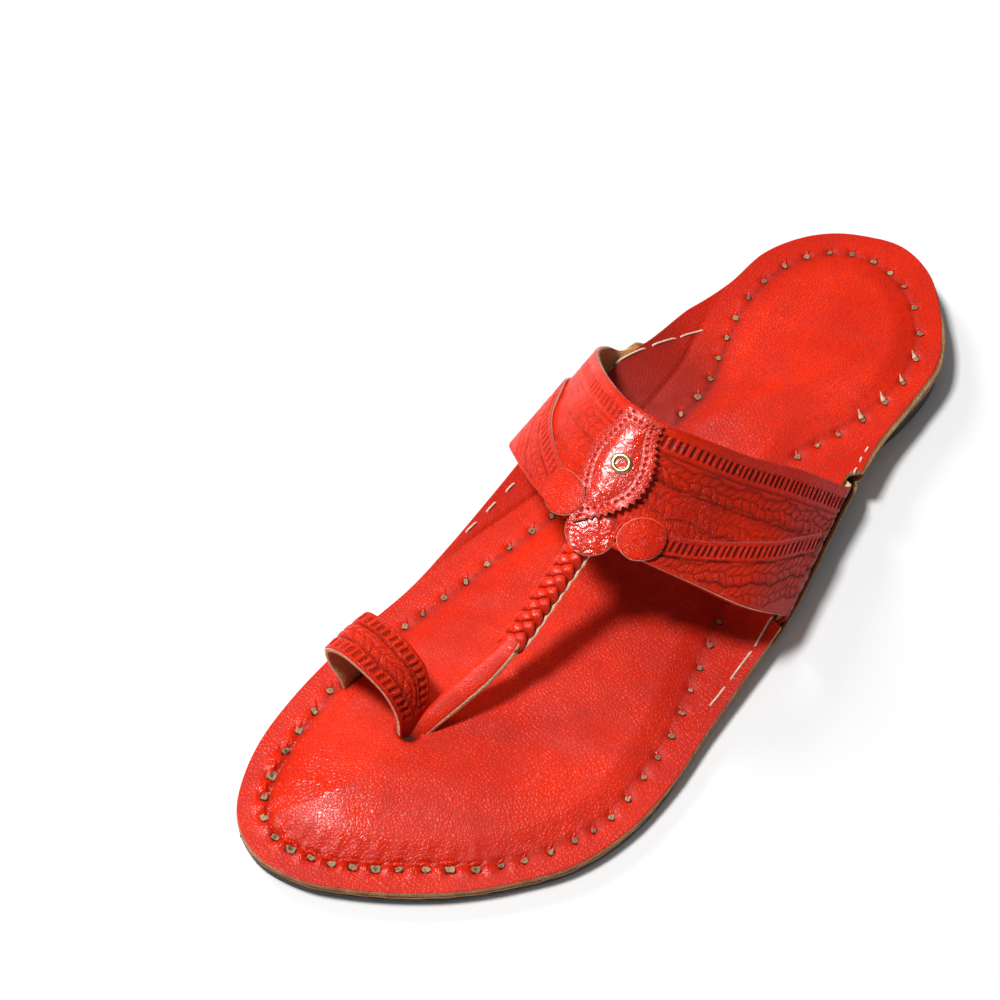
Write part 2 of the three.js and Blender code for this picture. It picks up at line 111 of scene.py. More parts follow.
def crumple(x: Array, y: Array, scale: float, seed: float) -> Array:
    """An uneven field whose waves are bent, so that they line up nowhere.

    Args:
        x: first coordinate.
        y: second coordinate.
        scale: its usual wave in millimetres.
        seed: moves the waves.
    Returns:
        The field at each place.
    """
    u = x + 0.55 * scale * ripple(x, y, 2.1 * scale, seed + 1.3)
    v = y + 0.55 * scale * ripple(y, -x, 1.7 * scale, seed + 2.9)
    return 0.65 * ripple(u, v, scale, seed) + 0.35 * ripple(v, u, 0.47 * scale, seed + 5.1)


def catmull(points: Rows, t: Array, closed: bool = False) -> Array:
    """Points on a centripetal curve through some points.

    Args:
        points: the points that it passes, one a row.
        t: places from 0 to 1, even from point to point.
        closed: whether the last point joins the first.
    Returns:
        One row for each place.
    """
    pts = np.asarray(points, float)
    t = np.atleast_1d(np.asarray(t, float))
    count = len(pts)
    place = (count if closed else count - 1) * t
    if closed:
        i = np.floor(place).astype(int) % count
        part = (place - np.floor(place))[:, None]
        p0, p1, p2, p3 = pts[i - 1], pts[i], pts[(i + 1) % count], pts[(i + 2) % count]
    else:
        i = np.clip(np.floor(place).astype(int), 0, count - 2)
        part = (place - i)[:, None]
        ends = np.vstack([2 * pts[0] - pts[1], pts, 2 * pts[-1] - pts[-2]])
        p0, p1, p2, p3 = ends[i], ends[i + 1], ends[i + 2], ends[i + 3]

    def knot(a: Array, b: Array) -> Array:
        """The spacing between two points."""
        return np.maximum(((a - b) ** 2).sum(1) ** 0.25, 1e-4)[:, None]

    a, b, c = knot(p0, p1), knot(p1, p2), knot(p2, p3)
    m1 = ((p1 - p0) / a - (p2 - p0) / (a + b) + (p2 - p1) / b) * b
    m2 = ((p2 - p1) / b - (p3 - p1) / (b + c) + (p3 - p2) / c) * b
    return p1 + m1 * part + (-3 * p1 + 3 * p2 - 2 * m1 - m2) * part**2 + (2 * p1 - 2 * p2 + m1 + m2) * part**3


def lengths(points: Array) -> Array:
    """Distance run along a row of points, from 0."""
    return np.concatenate([[0], np.cumsum(np.linalg.norm(np.diff(points, axis=0), axis=1))])


def read_along(table: Array, run: Array, goal: Array) -> Array:
    """The rows of a table, read at distances along it."""
    return np.stack([np.interp(goal, run, column) for column in table.T], axis=1)


def even(points: Array, count: int) -> Array:
    """A row of points spaced again at even distances."""
    run = lengths(points)
    return read_along(points, run, np.linspace(0, run[-1], count))


def trace(points: Rows, fine: int, count: int) -> Array:
    """Points at even distances on a curve that is drawn in fine steps."""
    return even(catmull(points, np.linspace(0, 1, fine)), count)


def unit(vectors: Array) -> Array:
    """The vectors at length 1."""
    return vectors / np.maximum(np.linalg.norm(vectors, axis=-1, keepdims=True), 1e-9)


def rounded(edge: Array, radius: float, drop: float) -> Array:
    """How far a face falls within a radius of its edge, like a rounded corner."""
    return drop * (1 - np.sqrt(np.clip(1 - (1 - np.clip(edge / radius, 0, 1)) ** 2, 0, 1)))


def full_turn(count: int) -> Array:
    """Angles at even steps round a circle."""
    return np.linspace(0, 2 * math.pi, count, endpoint=False)


def tube(
    path: Array, side: Array, up: Array, wide: float, tall: float, count: int
) -> Array:
    """Rings of an oval tube.

    Args:
        path: its middle line.
        side: direction of its width at each point.
        up: direction of its height at each point.
        wide: half its width.
        tall: half its height.
        count: points in a ring.
    Returns:
        One row of points for each ring.
    """
    turn = full_turn(count)[None, :, None]
    return path[:, None] + np.cos(turn) * side[:, None] * wide + np.sin(turn) * up[:, None] * tall


def blank(grid: Array) -> Array:
    """The four masks of each point of a grid, all 0."""
    return np.zeros((*grid.shape[:2], 4))


@dataclass
class Draft:
    """A mesh in the making: grids of points, each face with a material index and each point with a tone.

    Tone holds four masks: painted shade, with the lace nubs' random darkness; rim darkening, which also
    carries painted shade patches; extra gloss; and a painted pale sheen.
    """

    name: str
    points: list[Array] = field(default_factory=list)
    faces: list[Array] = field(default_factory=list)
    kinds: list[Array] = field(default_factory=list)
    tones: list[Array] = field(default_factory=list)
    count: int = 0

    def grid(
        self,
        grid: Array,
        kind: int | Array = 0,
        tone: Array | None = None,
        round_rows: bool = False,
        round_columns: bool = False,
        capped: bool = False,
    ) -> None:
        """Adds a grid of points with its faces.

        Args:
            grid: rows, columns and 3 coordinates in millimetres.
            kind: material index, one or one for each column of faces.
            tone: up to four masks for each point.
            round_rows: whether the last row joins the first.
            round_columns: whether the last column joins the first.
            capped: whether the first and last rows are closed by a fan.
        """
        rows, columns = grid.shape[:2]
        ids = np.arange(rows * columns).reshape(rows, columns) + self.count
        if round_rows:
            ids = np.vstack([ids, ids[:1]])
        if round_columns:
            ids = np.hstack([ids, ids[:, :1]])
        quads = np.stack([ids[:-1, :-1], ids[:-1, 1:], ids[1:, 1:], ids[1:, :-1]], axis=-1)
        kinds = np.broadcast_to(np.asarray(kind), quads.shape[1:2])
        self.points.append(grid.reshape(-1, 3))
        self.faces.append(quads.reshape(-1, 4))
        self.kinds.append(np.tile(kinds, quads.shape[0]))
        masks = np.zeros((rows * columns, 4))
        if tone is not None:
            masks[:, : tone.shape[-1]] = tone.reshape(rows * columns, -1)
        self.tones.append(masks)
        self.count += rows * columns
        if capped:
            for row, order in ((0, 1), (rows - 1, -1)):
                self._cap(ids[row], grid[row].mean(axis=0), order, int(kinds[0]))

    def _cap(self, ring: Array, middle: Array, order: int, kind: int) -> None:
        """Closes a ring of points with a fan about a middle point.

        Args:
            ring: numbers of its points, the first one again at the end.
            middle: the middle point.
            order: -1 where the fan faces the other way.
            kind: material index.
        """
        hubs = np.full(len(ring) - 1, self.count)
        fan = np.stack([hubs, ring[1:], ring[:-1], hubs], axis=-1)
        self.points.append(middle.reshape(1, 3))
        self.tones.append(np.zeros((1, 4)))
        self.faces.append(fan[:, ::order] if order < 0 else fan)
        self.kinds.append(np.full(len(fan), kind))
        self.count += 1

    def build(
        self, materials: list[bpy.types.Material], slot: Slot, *nodes: str, merge: bool = False
    ) -> Piece:
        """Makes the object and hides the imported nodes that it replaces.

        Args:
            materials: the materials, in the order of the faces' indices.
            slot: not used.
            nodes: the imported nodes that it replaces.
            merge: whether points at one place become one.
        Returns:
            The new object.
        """
        points = np.vstack(self.points)
        faces = np.vstack(self.faces)
        kinds = np.concatenate(self.kinds)
        tones = np.vstack(self.tones)
        if merge:
            keys = np.round(points, 4)
            _, first, back = np.unique(keys, axis=0, return_index=True, return_inverse=True)
            back = back.reshape(-1)
            points, tones, faces = points[first], tones[first], back[faces]
        corners = [list(dict.fromkeys(face)) for face in faces.tolist()]
        keep = [i for i, face in enumerate(corners) if len(face) > 2]
        corners = [corners[i] for i in keep]
        kinds = kinds[keep]
        if self._volume(points, corners) < 0:
            corners = [face[::-1] for face in corners]
        mesh = bpy.data.meshes.new(self.name)
        mesh.from_pydata(((points + SHIFT) * MM).tolist(), [], corners)
        for material in materials:
            mesh.materials.append(material)
        mesh.polygons.foreach_set("material_index", kinds.astype(np.int32))
        mesh.polygons.foreach_set("use_smooth", np.ones(len(corners), dtype=bool))
        layer = mesh.color_attributes.new("Tone", "FLOAT_COLOR", "POINT")
        layer.data.foreach_set("color", tones.astype(np.float32).ravel())
        mesh.update()
        piece = bpy.data.objects.new(self.name, mesh)
        bpy.context.scene.collection.objects.link(piece)
        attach(piece, BODY)
        if nodes:
            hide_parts(*nodes)
        log.info("%s: %d points, %d faces", self.name, len(points), len(corners))
        return piece

    @staticmethod
    def _volume(points: Array, corners: list[list[int]]) -> float:
        """Signed volume, to tell whether the faces look outwards.

        Args:
            points: the mesh's points.
            corners: point numbers of each face.
        Returns:
            Its volume, below 0 where the faces look inwards.
        """
        tris = np.array([(face[0], *pair) for face in corners for pair in zip(face[1:], face[2:])])
        a, b, c = (points[tris[:, k]] - points.mean(axis=0) for k in range(3))
        return float(np.einsum("ij,ij->", a, np.cross(b, c)))


@dataclass(frozen=True)
class PlateGrid:
    """How a plate is divided: shares of the way out on top and underneath, and rows down its rim."""

    top: int = 20
    under: int = 4
    bevel: float = 0.35
    wall: int = 3

    def rings(
        self,
        rim: Array,
        hub: Array,
        top: Callable[[Array, Array], Array],
        under: Callable[[Array, Array], Array],
        crowd: float = 1.0,
        skive: Array | float = 0.0,
    ) -> tuple[Array, Array]:
        """Rings of a closed plate from its middle, over its rim, to its middle underneath.

        Args:
            rim: the outline, one (x, y) a row, closed.
            hub: the middle that belongs to each rim point.
            top: height of the upper face at x and y.
            under: height of the lower face at x and y.
            crowd: above 1, the rings lie closer towards the rim.
            skive: how far the lower edge stands out beyond the upper one at each rim point.
        Returns:
            Points (around, across, 3) and a face kind for each column: 0 top, 1 rim, 2 underneath.
        """
        reach = np.linalg.norm(rim - hub, axis=1)[:, None, None]
        out = unit(rim - hub)[:, None, :]
        lean = np.broadcast_to(np.asarray(skive, float), len(rim))[:, None, None]
        turn = np.linspace(0, math.pi / 2, 5)
        insets = self.bevel * (1 - np.sin(turn))
        drops = self.bevel * (1 - np.cos(turn))
        shares = 1 - (1 - np.linspace(0, 1, self.top)) ** crowd
        inner = hub[:, None, :] + out * (reach - self.bevel) * shares[None, :, None]
        edge = rim[:, None, :] - out * insets[None, 1:, None]
        flat = np.concatenate([inner, edge], axis=1)
        height = top(flat[..., 0], flat[..., 1])
        height[:, self.top:] -= drops[None, 1:]
        upper = np.dstack([flat, height])
        low_shares = np.linspace(1, 0, self.under)
        low_inner = hub[:, None, :] + out * (reach - self.bevel) * low_shares[None, :, None]
        low_edge = rim[:, None, :] + out * (lean - insets[None, ::-1][:, :-1, None])
        low_flat = np.concatenate([low_edge, low_inner], axis=1)
        low_height = under(low_flat[..., 0], low_flat[..., 1])
        low_height[:, : len(insets) - 1] += drops[None, ::-1][:, :-1]
        lower = np.dstack([low_flat, low_height])
        steps = np.linspace(0, 1, self.wall + 2)[1:-1]
        wall = upper[:, -1:, :] + (lower[:, :1, :] - upper[:, -1:, :]) * steps[None, :, None]
        rings = np.concatenate([upper, wall, lower], axis=1)
        faces = rings.shape[1] - 1
        kinds = np.full(faces, 1)
        kinds[: self.top + 1] = 0
        kinds[faces - self.under - 1:] = 2
        return rings, kinds


class Wiring:
    """Short calls for adding and joining shader nodes in one tree."""

    def __init__(self, tree: bpy.types.NodeTree) -> None:
        """Keeps the tree that the nodes go into."""
        self.tree = tree

    def add(self, kind: str, **values: object) -> Node:
        """Adds a node.

        Args:
            kind: Blender's node type.
            values: settings of the node, or its input sockets by name with _ for a space.
        Returns:
            The node.
        """
        node = self.tree.nodes.new(kind)
        for key, value in values.items():
            if hasattr(node, key):
                setattr(node, key, value)
            else:
                self.join(node, key.replace("_", " "), value)
        return node

    def join(self, node: Node, name: str | int, value: object) -> None:
        """Sets an input socket, or links another node's output to it.

        Args:
            node: the node that has the input.
            name: the input's name or number.
            value: a value or an output.
        """
        socket = node.inputs[name]
        if isinstance(value, Socket):
            self.tree.links.new(value, socket)
        else:
            socket.default_value = value

    def math(self, operation: str, a: object, b: object = 0.0, clamp: bool = False) -> Socket:
        """Adds a math node.

        Args:
            operation: Blender's name for it.
            a: first value or socket.
            b: second value or socket.
            clamp: whether the result stays between 0 and 1.
        Returns:
            Its output.
        """
        node = self.tree.nodes.new("ShaderNodeMath")
        node.operation = operation
        node.use_clamp = clamp
        self.join(node, 0, a)
        self.join(node, 1, b)
        return node.outputs[0]

    def group(self, tree: bpy.types.NodeTree, **values: float) -> Node:
        """Places a shared group with values of its own."""
        return self.add("ShaderNodeGroup", node_tree=tree, **values)

    def emboss(self, shader: Node, strength: float, distance: float, height: object) -> None:
        """Bends a shader's normal by a height."""
        node = self.add("ShaderNodeBump", Strength=strength, Distance=distance, Height=height)
        self.join(shader, "Normal", node.outputs[0])

    def mix(self, share: object, a: object, b: object) -> Socket:
        """Mixes two colours.

        Args:
            share: how much of the second, a value or a socket.
            a: first colour or socket.
            b: second colour or socket.
        Returns:
            The mixed colour.
        """
        node = self.tree.nodes.new("ShaderNodeMix")
        node.data_type = "RGBA"
        self.join(node, 0, share)
        for index, colour in ((6, a), (7, b)):
            self.join(node, index, colour if isinstance(colour, Socket) else (*colour, 1))
        return node.outputs[2]

    def ramp(self, value: object, low: float, high: float, to_low: float, to_high: float) -> Socket:
        """Maps a value from one range to another, held at the ends.

        Args:
            value: what is mapped.
            low: start of its range.
            high: end of its range.
            to_low: result at the start.
            to_high: result at the end.
        Returns:
            The mapped value.
        """
        node = self.tree.nodes.new("ShaderNodeMapRange")
        node.interpolation_type = "SMOOTHSTEP"
        for index, number in enumerate((value, low, high, to_low, to_high)):
            self.join(node, index, number)
        return node.outputs[0]


class Groups:
    """Shader node groups that several finishes share, each built once."""

    def __init__(self) -> None:
        """Builds the groups."""
        self.grain = self._grain()
        self.drift = self._drift()
        self.tone = self._tone()

    @staticmethod
    def _start(
        name: str, inputs: dict[str, float], outputs: tuple[str, ...]
    ) -> tuple[Wiring, Node, Node]:
        """Makes an empty group.

        Args:
            name: the group's name.
            inputs: its number inputs with their defaults.
            outputs: its number outputs.
        Returns:
            Its wiring, input node and output node.
        """
        tree = bpy.data.node_groups.new(name, "ShaderNodeTree")
        for key, value in inputs.items():
            socket = tree.interface.new_socket(key, in_out="INPUT", socket_type="NodeSocketFloat")
            socket.default_value = value
        for key in outputs:
            tree.interface.new_socket(key, in_out="OUTPUT", socket_type="NodeSocketFloat")
        wiring = Wiring(tree)
        return wiring, wiring.add("NodeGroupInput"), wiring.add("NodeGroupOutput")

    def _grain(self) -> bpy.types.NodeTree:
        """Pebbled hair-side grain with fine pores and a few long creases.

        Returns:
            The group, with the height and the cracks between the pebbles.
        """
        inputs = {"Pebble": 900.0, "Pores": 0.3, "Creases": 0.3}
        w, given, out = self._start("leather_grain", inputs, ("Height", "Cracks"))
        place = w.add("ShaderNodeTexCoord").outputs["Object"]
        warp = w.add("ShaderNodeTexNoise", Vector=place, Scale=180.0, Detail=2.0)
        moved = w.add("ShaderNodeVectorMath", operation="MULTIPLY_ADD")
        w.join(moved, 0, warp.outputs["Color"])
        w.join(moved, 1, (0.0016, 0.0016, 0.0016))
        w.join(moved, 2, place)
        cells = w.add("ShaderNodeTexVoronoi", feature="DISTANCE_TO_EDGE", Vector=moved.outputs[0])
        w.join(cells, "Scale", given.outputs["Pebble"])
        pebble = w.ramp(cells.outputs["Distance"], 0.0, 0.28, 0.0, 1.0)
        pores = w.add("ShaderNodeTexNoise", Vector=place, Detail=3.0, Roughness=0.65)
        w.join(pores, "Scale", w.math("MULTIPLY", given.outputs["Pebble"], 2.6))
        folds = w.add(
            "ShaderNodeTexNoise", Vector=place, Scale=95.0, Detail=4.0, Roughness=0.6, Distortion=1.4
        )
        patch = w.add("ShaderNodeTexNoise", Vector=place, Scale=34.0, Detail=1.0)
        total = w.math("MULTIPLY", pebble, w.ramp(patch.outputs[0], 0.35, 0.65, 0.45, 1.0))
        total = w.math("ADD", total, w.math("MULTIPLY", pores.outputs[0], given.outputs["Pores"]))
        total = w.math("ADD", total, w.math("MULTIPLY", folds.outputs[0], given.outputs["Creases"]))
        w.join(out, "Height", total)
        w.join(out, "Cracks", w.ramp(cells.outputs["Distance"], 0.0, 0.16, 1.0, 0.0))
        return w.tree

    def _drift(self) -> bpy.types.NodeTree:
        """Uneven hand dyeing.

        Returns:
            The group, with broad clouds and small mottling as masks from 0 to 1.
        """
        w, given, out = self._start("dye_drift", {"Scale": 1.0}, ("Clouds", "Mottle"))
        place = w.add("ShaderNodeTexCoord").outputs["Object"]
        clouds = w.add("ShaderNodeTexNoise", Vector=place, Detail=3.0, Roughness=0.55)
        w.join(clouds, "Scale", w.math("MULTIPLY", given.outputs["Scale"], 26.0))
        mottle = w.add("ShaderNodeTexNoise", Vector=place, Detail=4.0, Roughness=0.6)
        w.join(mottle, "Scale", w.math("MULTIPLY", given.outputs["Scale"], 210.0))
        w.join(out, "Clouds", w.ramp(clouds.outputs[0], 0.32, 0.7, 0.0, 1.0))
        w.join(out, "Mottle", w.ramp(mottle.outputs[0], 0.3, 0.72, 0.0, 1.0))
        return w.tree

    def _tone(self) -> bpy.types.NodeTree:
        """The masks that a piece's points carry.

        Returns:
            The group, with the painted shade (and nub darkness), rim, gloss and painted sheen masks.
        """
        names = ("ShadeAndDirt", "Rim", "Gloss", "Sheen")
        w, _, out = self._start("point_tone", {}, names)
        tone = w.add("ShaderNodeAttribute", attribute_name="Tone")
        parts = w.add("ShaderNodeSeparateColor", Color=tone.outputs["Color"])
        for name, mask in zip(names, (*parts.outputs[:3], tone.outputs["Alpha"])):
            w.join(out, name, mask)
        return w.tree


def new_material(name: str) -> tuple[bpy.types.Material, Wiring, Node]:
    """Starts a material.

    Args:
        name: its name.
    Returns:
        The material, its wiring and its Principled shader.
    """
    material = bpy.data.materials.new(name)
    material.use_nodes = True
    material.node_tree.nodes.clear()
    wiring = Wiring(material.node_tree)
    shader = wiring.add("ShaderNodeBsdfPrincipled")
    end = wiring.add("ShaderNodeOutputMaterial")
    wiring.join(end, "Surface", shader.outputs[0])
    return material, wiring, shader


@dataclass(frozen=True)
class DyedLeather:
    """Hair-side leather, dyed by hand and polished."""

    name: str
    light: Triple = (0.82, 0.027, 0.003)
    deep: Triple = (0.38, 0.006, 0.001)
    # colour of the painted shade that the first tone mask lays in
    shade_and_dirt: Triple = (0.055, 0.003, 0.001)
    rim: Triple = (0.44, 0.009, 0.002)
    # colour of the painted sheen
    sheen: Triple = (0.34, 0.07, 0.075)
    rough: float = 0.4
    pebble: float = 1000.0
    depth: float = 0.0001
    coat: float = 0.0
    pores: float = 0.12
    creases: float = 0.12
    cracks: float = 0.5
    shine: float = 0.16
    varnish: float = 0.0
    polish: float = 0.16
    coat_rough: float = 0.27

    def make(self, groups: Groups) -> bpy.types.Material:
        """Builds the material.

        Args:
            groups: the shared node groups.
        Returns:
            The material.
        """
        material, w, shader = new_material(self.name)
        drift, tone = w.group(groups.drift), w.group(groups.tone)
        grain = w.group(groups.grain, Pebble=self.pebble, Pores=self.pores, Creases=self.creases)
        gloss, shade_and_dirt = tone.outputs["Gloss"], tone.outputs["ShadeAndDirt"]
        colour = w.mix(w.math("MULTIPLY", drift.outputs["Clouds"], 0.5), self.light, self.deep)
        for mask, share in ((drift.outputs["Mottle"], 0.28), (grain.outputs["Cracks"], self.cracks)):
            colour = w.mix(w.math("MULTIPLY", mask, share), colour, self.deep)
        # The Rim mask darkens edges and ears, and also carries the insole's painted shade patches.
        colour = w.mix(w.math("MULTIPLY", tone.outputs["Rim"], 0.85, clamp=True), colour, self.rim)
        # The Sheen mask paints a pale bluish reflection into the colour.
        colour = w.mix(tone.outputs["Sheen"], colour, self.sheen)
        # The first tone mask paints shade into the colour: in recesses, pressed lines, slots, folds and where
        # the band and the thong shade the leather.
        w.join(shader, "Base Color", w.mix(shade_and_dirt, colour, self.shade_and_dirt))
        rough = w.ramp(drift.outputs["Mottle"], 0.0, 1.0, self.rough - 0.05, self.rough + 0.09)
        rough = w.math("SUBTRACT", rough, w.math("MULTIPLY", gloss, self.polish), clamp=True)
        w.join(shader, "Roughness", w.math("ADD", rough, w.math("MULTIPLY", shade_and_dirt, 0.3), clamp=True))
        coat = w.math("ADD", w.math("MULTIPLY", gloss, self.varnish), self.coat, clamp=True)
        w.join(shader, "Coat Weight", coat)
        shader.inputs["Coat Roughness"].default_value = self.coat_rough
        shader.inputs["Specular IOR Level"].default_value = self.shine
        w.emboss(shader, 0.75, self.depth, grain.outputs["Height"])
        return material


@dataclass(frozen=True)
class RawLeather:
    """Cut edges and flesh side: undyed, fibrous."""

    name: str
    light: Triple = (0.60, 0.34, 0.17)
    dark: Triple = (0.30, 0.13, 0.05)
    stain: Triple = (0.42, 0.06, 0.02)
    # colour of the painted shade in the ear layers' gaps and round the lace buttons, and of the lace nubs'
    # own darkness
    shade_and_dirt: Triple = (0.012, 0.007, 0.005)
    stained: float = 0.3
    fibre: float = 700.0
    depth: float = 0.00018
    shine: float = 0.2

    def make(self, groups: Groups) -> bpy.types.Material:
        """Builds the material.

        Args:
            groups: the shared node groups.
        Returns:
            The material.
        """
        material, w, shader = new_material(self.name)
        drift, tone = w.group(groups.drift), w.group(groups.tone)
        grain = w.group(groups.grain, Pebble=self.fibre, Pores=1.2, Creases=0.5)
        colour = w.mix(w.math("MULTIPLY", drift.outputs["Mottle"], 0.6), self.light, self.dark)
        colour = w.mix(w.math("MULTIPLY", drift.outputs["Clouds"], self.stained), colour, self.stain)
        # The first tone mask paints shade into the colour, and the lace nubs' own random darkness.
        w.join(shader, "Base Color", w.mix(tone.outputs["ShadeAndDirt"], colour, self.shade_and_dirt))
        shader.inputs["Specular IOR Level"].default_value = self.shine
        w.join(shader, "Roughness", w.ramp(drift.outputs["Mottle"], 0.0, 1.0, 0.62, 0.85))
        w.emboss(shader, 0.8, self.depth, grain.outputs["Height"])
        return material


@dataclass(frozen=True)
class TyreRubber:
    """Dark matt rubber with patches of dust."""

    name: str
    base: Triple = (0.030, 0.030, 0.032)
    dust: Triple = (0.10, 0.10, 0.105)

    def make(self, groups: Groups) -> bpy.types.Material:
        """Builds the material.

        Args:
            groups: the shared node groups.
        Returns:
            The material.
        """
        material, w, shader = new_material(self.name)
        drift = w.group(groups.drift)
        grain = w.group(groups.grain, Pebble=1500.0, Pores=0.9, Creases=0.1)
        dusty = w.math("MULTIPLY", drift.outputs["Mottle"], drift.outputs["Clouds"])
        w.join(shader, "Base Color", w.mix(dusty, self.base, self.dust))
        w.join(shader, "Roughness", w.ramp(drift.outputs["Mottle"], 0.0, 1.0, 0.6, 0.85))
        w.emboss(shader, 0.5, 0.0001, grain.outputs["Height"])
        return material


@dataclass(frozen=True)
class PlainMetal:
    """Rolled brass with fine scratches and a little tarnish."""

    name: str
    light: Triple = (0.78, 0.66, 0.36)
    tarnish: Triple = (0.36, 0.26, 0.10)

    def make(self, groups: Groups) -> bpy.types.Material:
        """Builds the material.

        Args:
            groups: the shared node groups.
        Returns:
            The material.
        """
        material, w, shader = new_material(self.name)
        drift = w.group(groups.drift, Scale=6.0)
        shader.inputs["Metallic"].default_value = 1.0
        share = w.math("MULTIPLY", drift.outputs["Mottle"], 0.45)
        w.join(shader, "Base Color", w.mix(share, self.light, self.tarnish))
        w.join(shader, "Roughness", w.ramp(drift.outputs["Mottle"], 0.0, 1.0, 0.34, 0.48))
        scratch = w.add("ShaderNodeTexNoise", Scale=2600.0, Detail=2.0)
        w.join(scratch, "Vector", w.add("ShaderNodeTexCoord").outputs["Object"])
        w.emboss(shader, 0.15, 0.00005, scratch.outputs[0])
        return material


@dataclass(frozen=True)
class TwistedThread:
    """Thick waxed thread with a visible twist."""

    name: str
    light: Triple = (0.78, 0.60, 0.46)
    dark: Triple = (0.50, 0.24, 0.16)

    def make(self, groups: Groups) -> bpy.types.Material:
        """Builds the material.

        Args:
            groups: the shared node groups.
        Returns:
            The material.
        """
        material, w, shader = new_material(self.name)
        drift = w.group(groups.drift, Scale=3.0)
        place = w.add("ShaderNodeTexCoord").outputs["Object"]
        wave = {"Scale": 420.0, "Distortion": 1.0, "bands_direction": "DIAGONAL"}
        twist = w.add("ShaderNodeTexWave", Vector=place, **wave).outputs["Fac"]
        share = w.math("MULTIPLY", drift.outputs["Mottle"], 0.55)
        w.join(shader, "Base Color", w.mix(share, self.light, self.dark))
        w.join(shader, "Roughness", w.ramp(twist, 0.0, 1.0, 0.55, 0.75))
        w.emboss(shader, 0.6, 0.0001, twist)
        return material


@dataclass
class Finishes:
    """Every finish of the sandal, made once."""

    groups: Groups = field(default_factory=Groups)

    def __post_init__(self) -> None:
        """Makes the materials."""
        g = self.groups
        self.insole = DyedLeather("insole_red", rough=0.46, shine=0.28, polish=0.24).make(g)
        self.band = DyedLeather("band_red", rough=0.38, depth=0.0002, pebble=1500.0, shine=0.2).make(g)
        self.glazed = DyedLeather(
            "glazed_red", rough=0.28, coat=0.3, depth=0.00022, pebble=1250.0, shine=0.45, varnish=0.6
        ).make(g)
        self.plait = DyedLeather(
            "plait_red", rough=0.38, depth=0.00008, pebble=1700.0, shine=0.36, cracks=0.3
        ).make(g)
        self.strap = DyedLeather(
            "strap_red", rough=0.42, depth=0.00008, pebble=1300.0, shine=0.22
        ).make(g)
        # A near-black finish for the painted shadow in each lace hole.
        self.hole_shadow = DyedLeather(
            "slit_shadow", light=(0.10, 0.012, 0.008), deep=(0.04, 0.006, 0.005), rough=0.6
        ).make(g)
        self.raw = RawLeather("cut_edge").make(g)
        # A paler copy of cut_edge for the thin edges of the upper: partly their own paler colour, partly
        # painted light, as on the strap's raw edge.
        self.pale = RawLeather("pale_lit_cut_edge", (0.92, 0.60, 0.40), (0.66, 0.32, 0.18), stained=0.15).make(g)
        self.flesh = RawLeather("flesh_side", (0.52, 0.27, 0.11), (0.36, 0.15, 0.05), stained=0.12).make(g)
        self.lace = RawLeather("lace_thong", (0.46, 0.33, 0.19), (0.20, 0.12, 0.06), stained=0.35).make(g)
        self.rubber = TyreRubber("tyre_rubber").make(g)
        self.brass = PlainMetal("eyelet_brass").make(g)
        self.thread = TwistedThread("ear_thread").make(g)


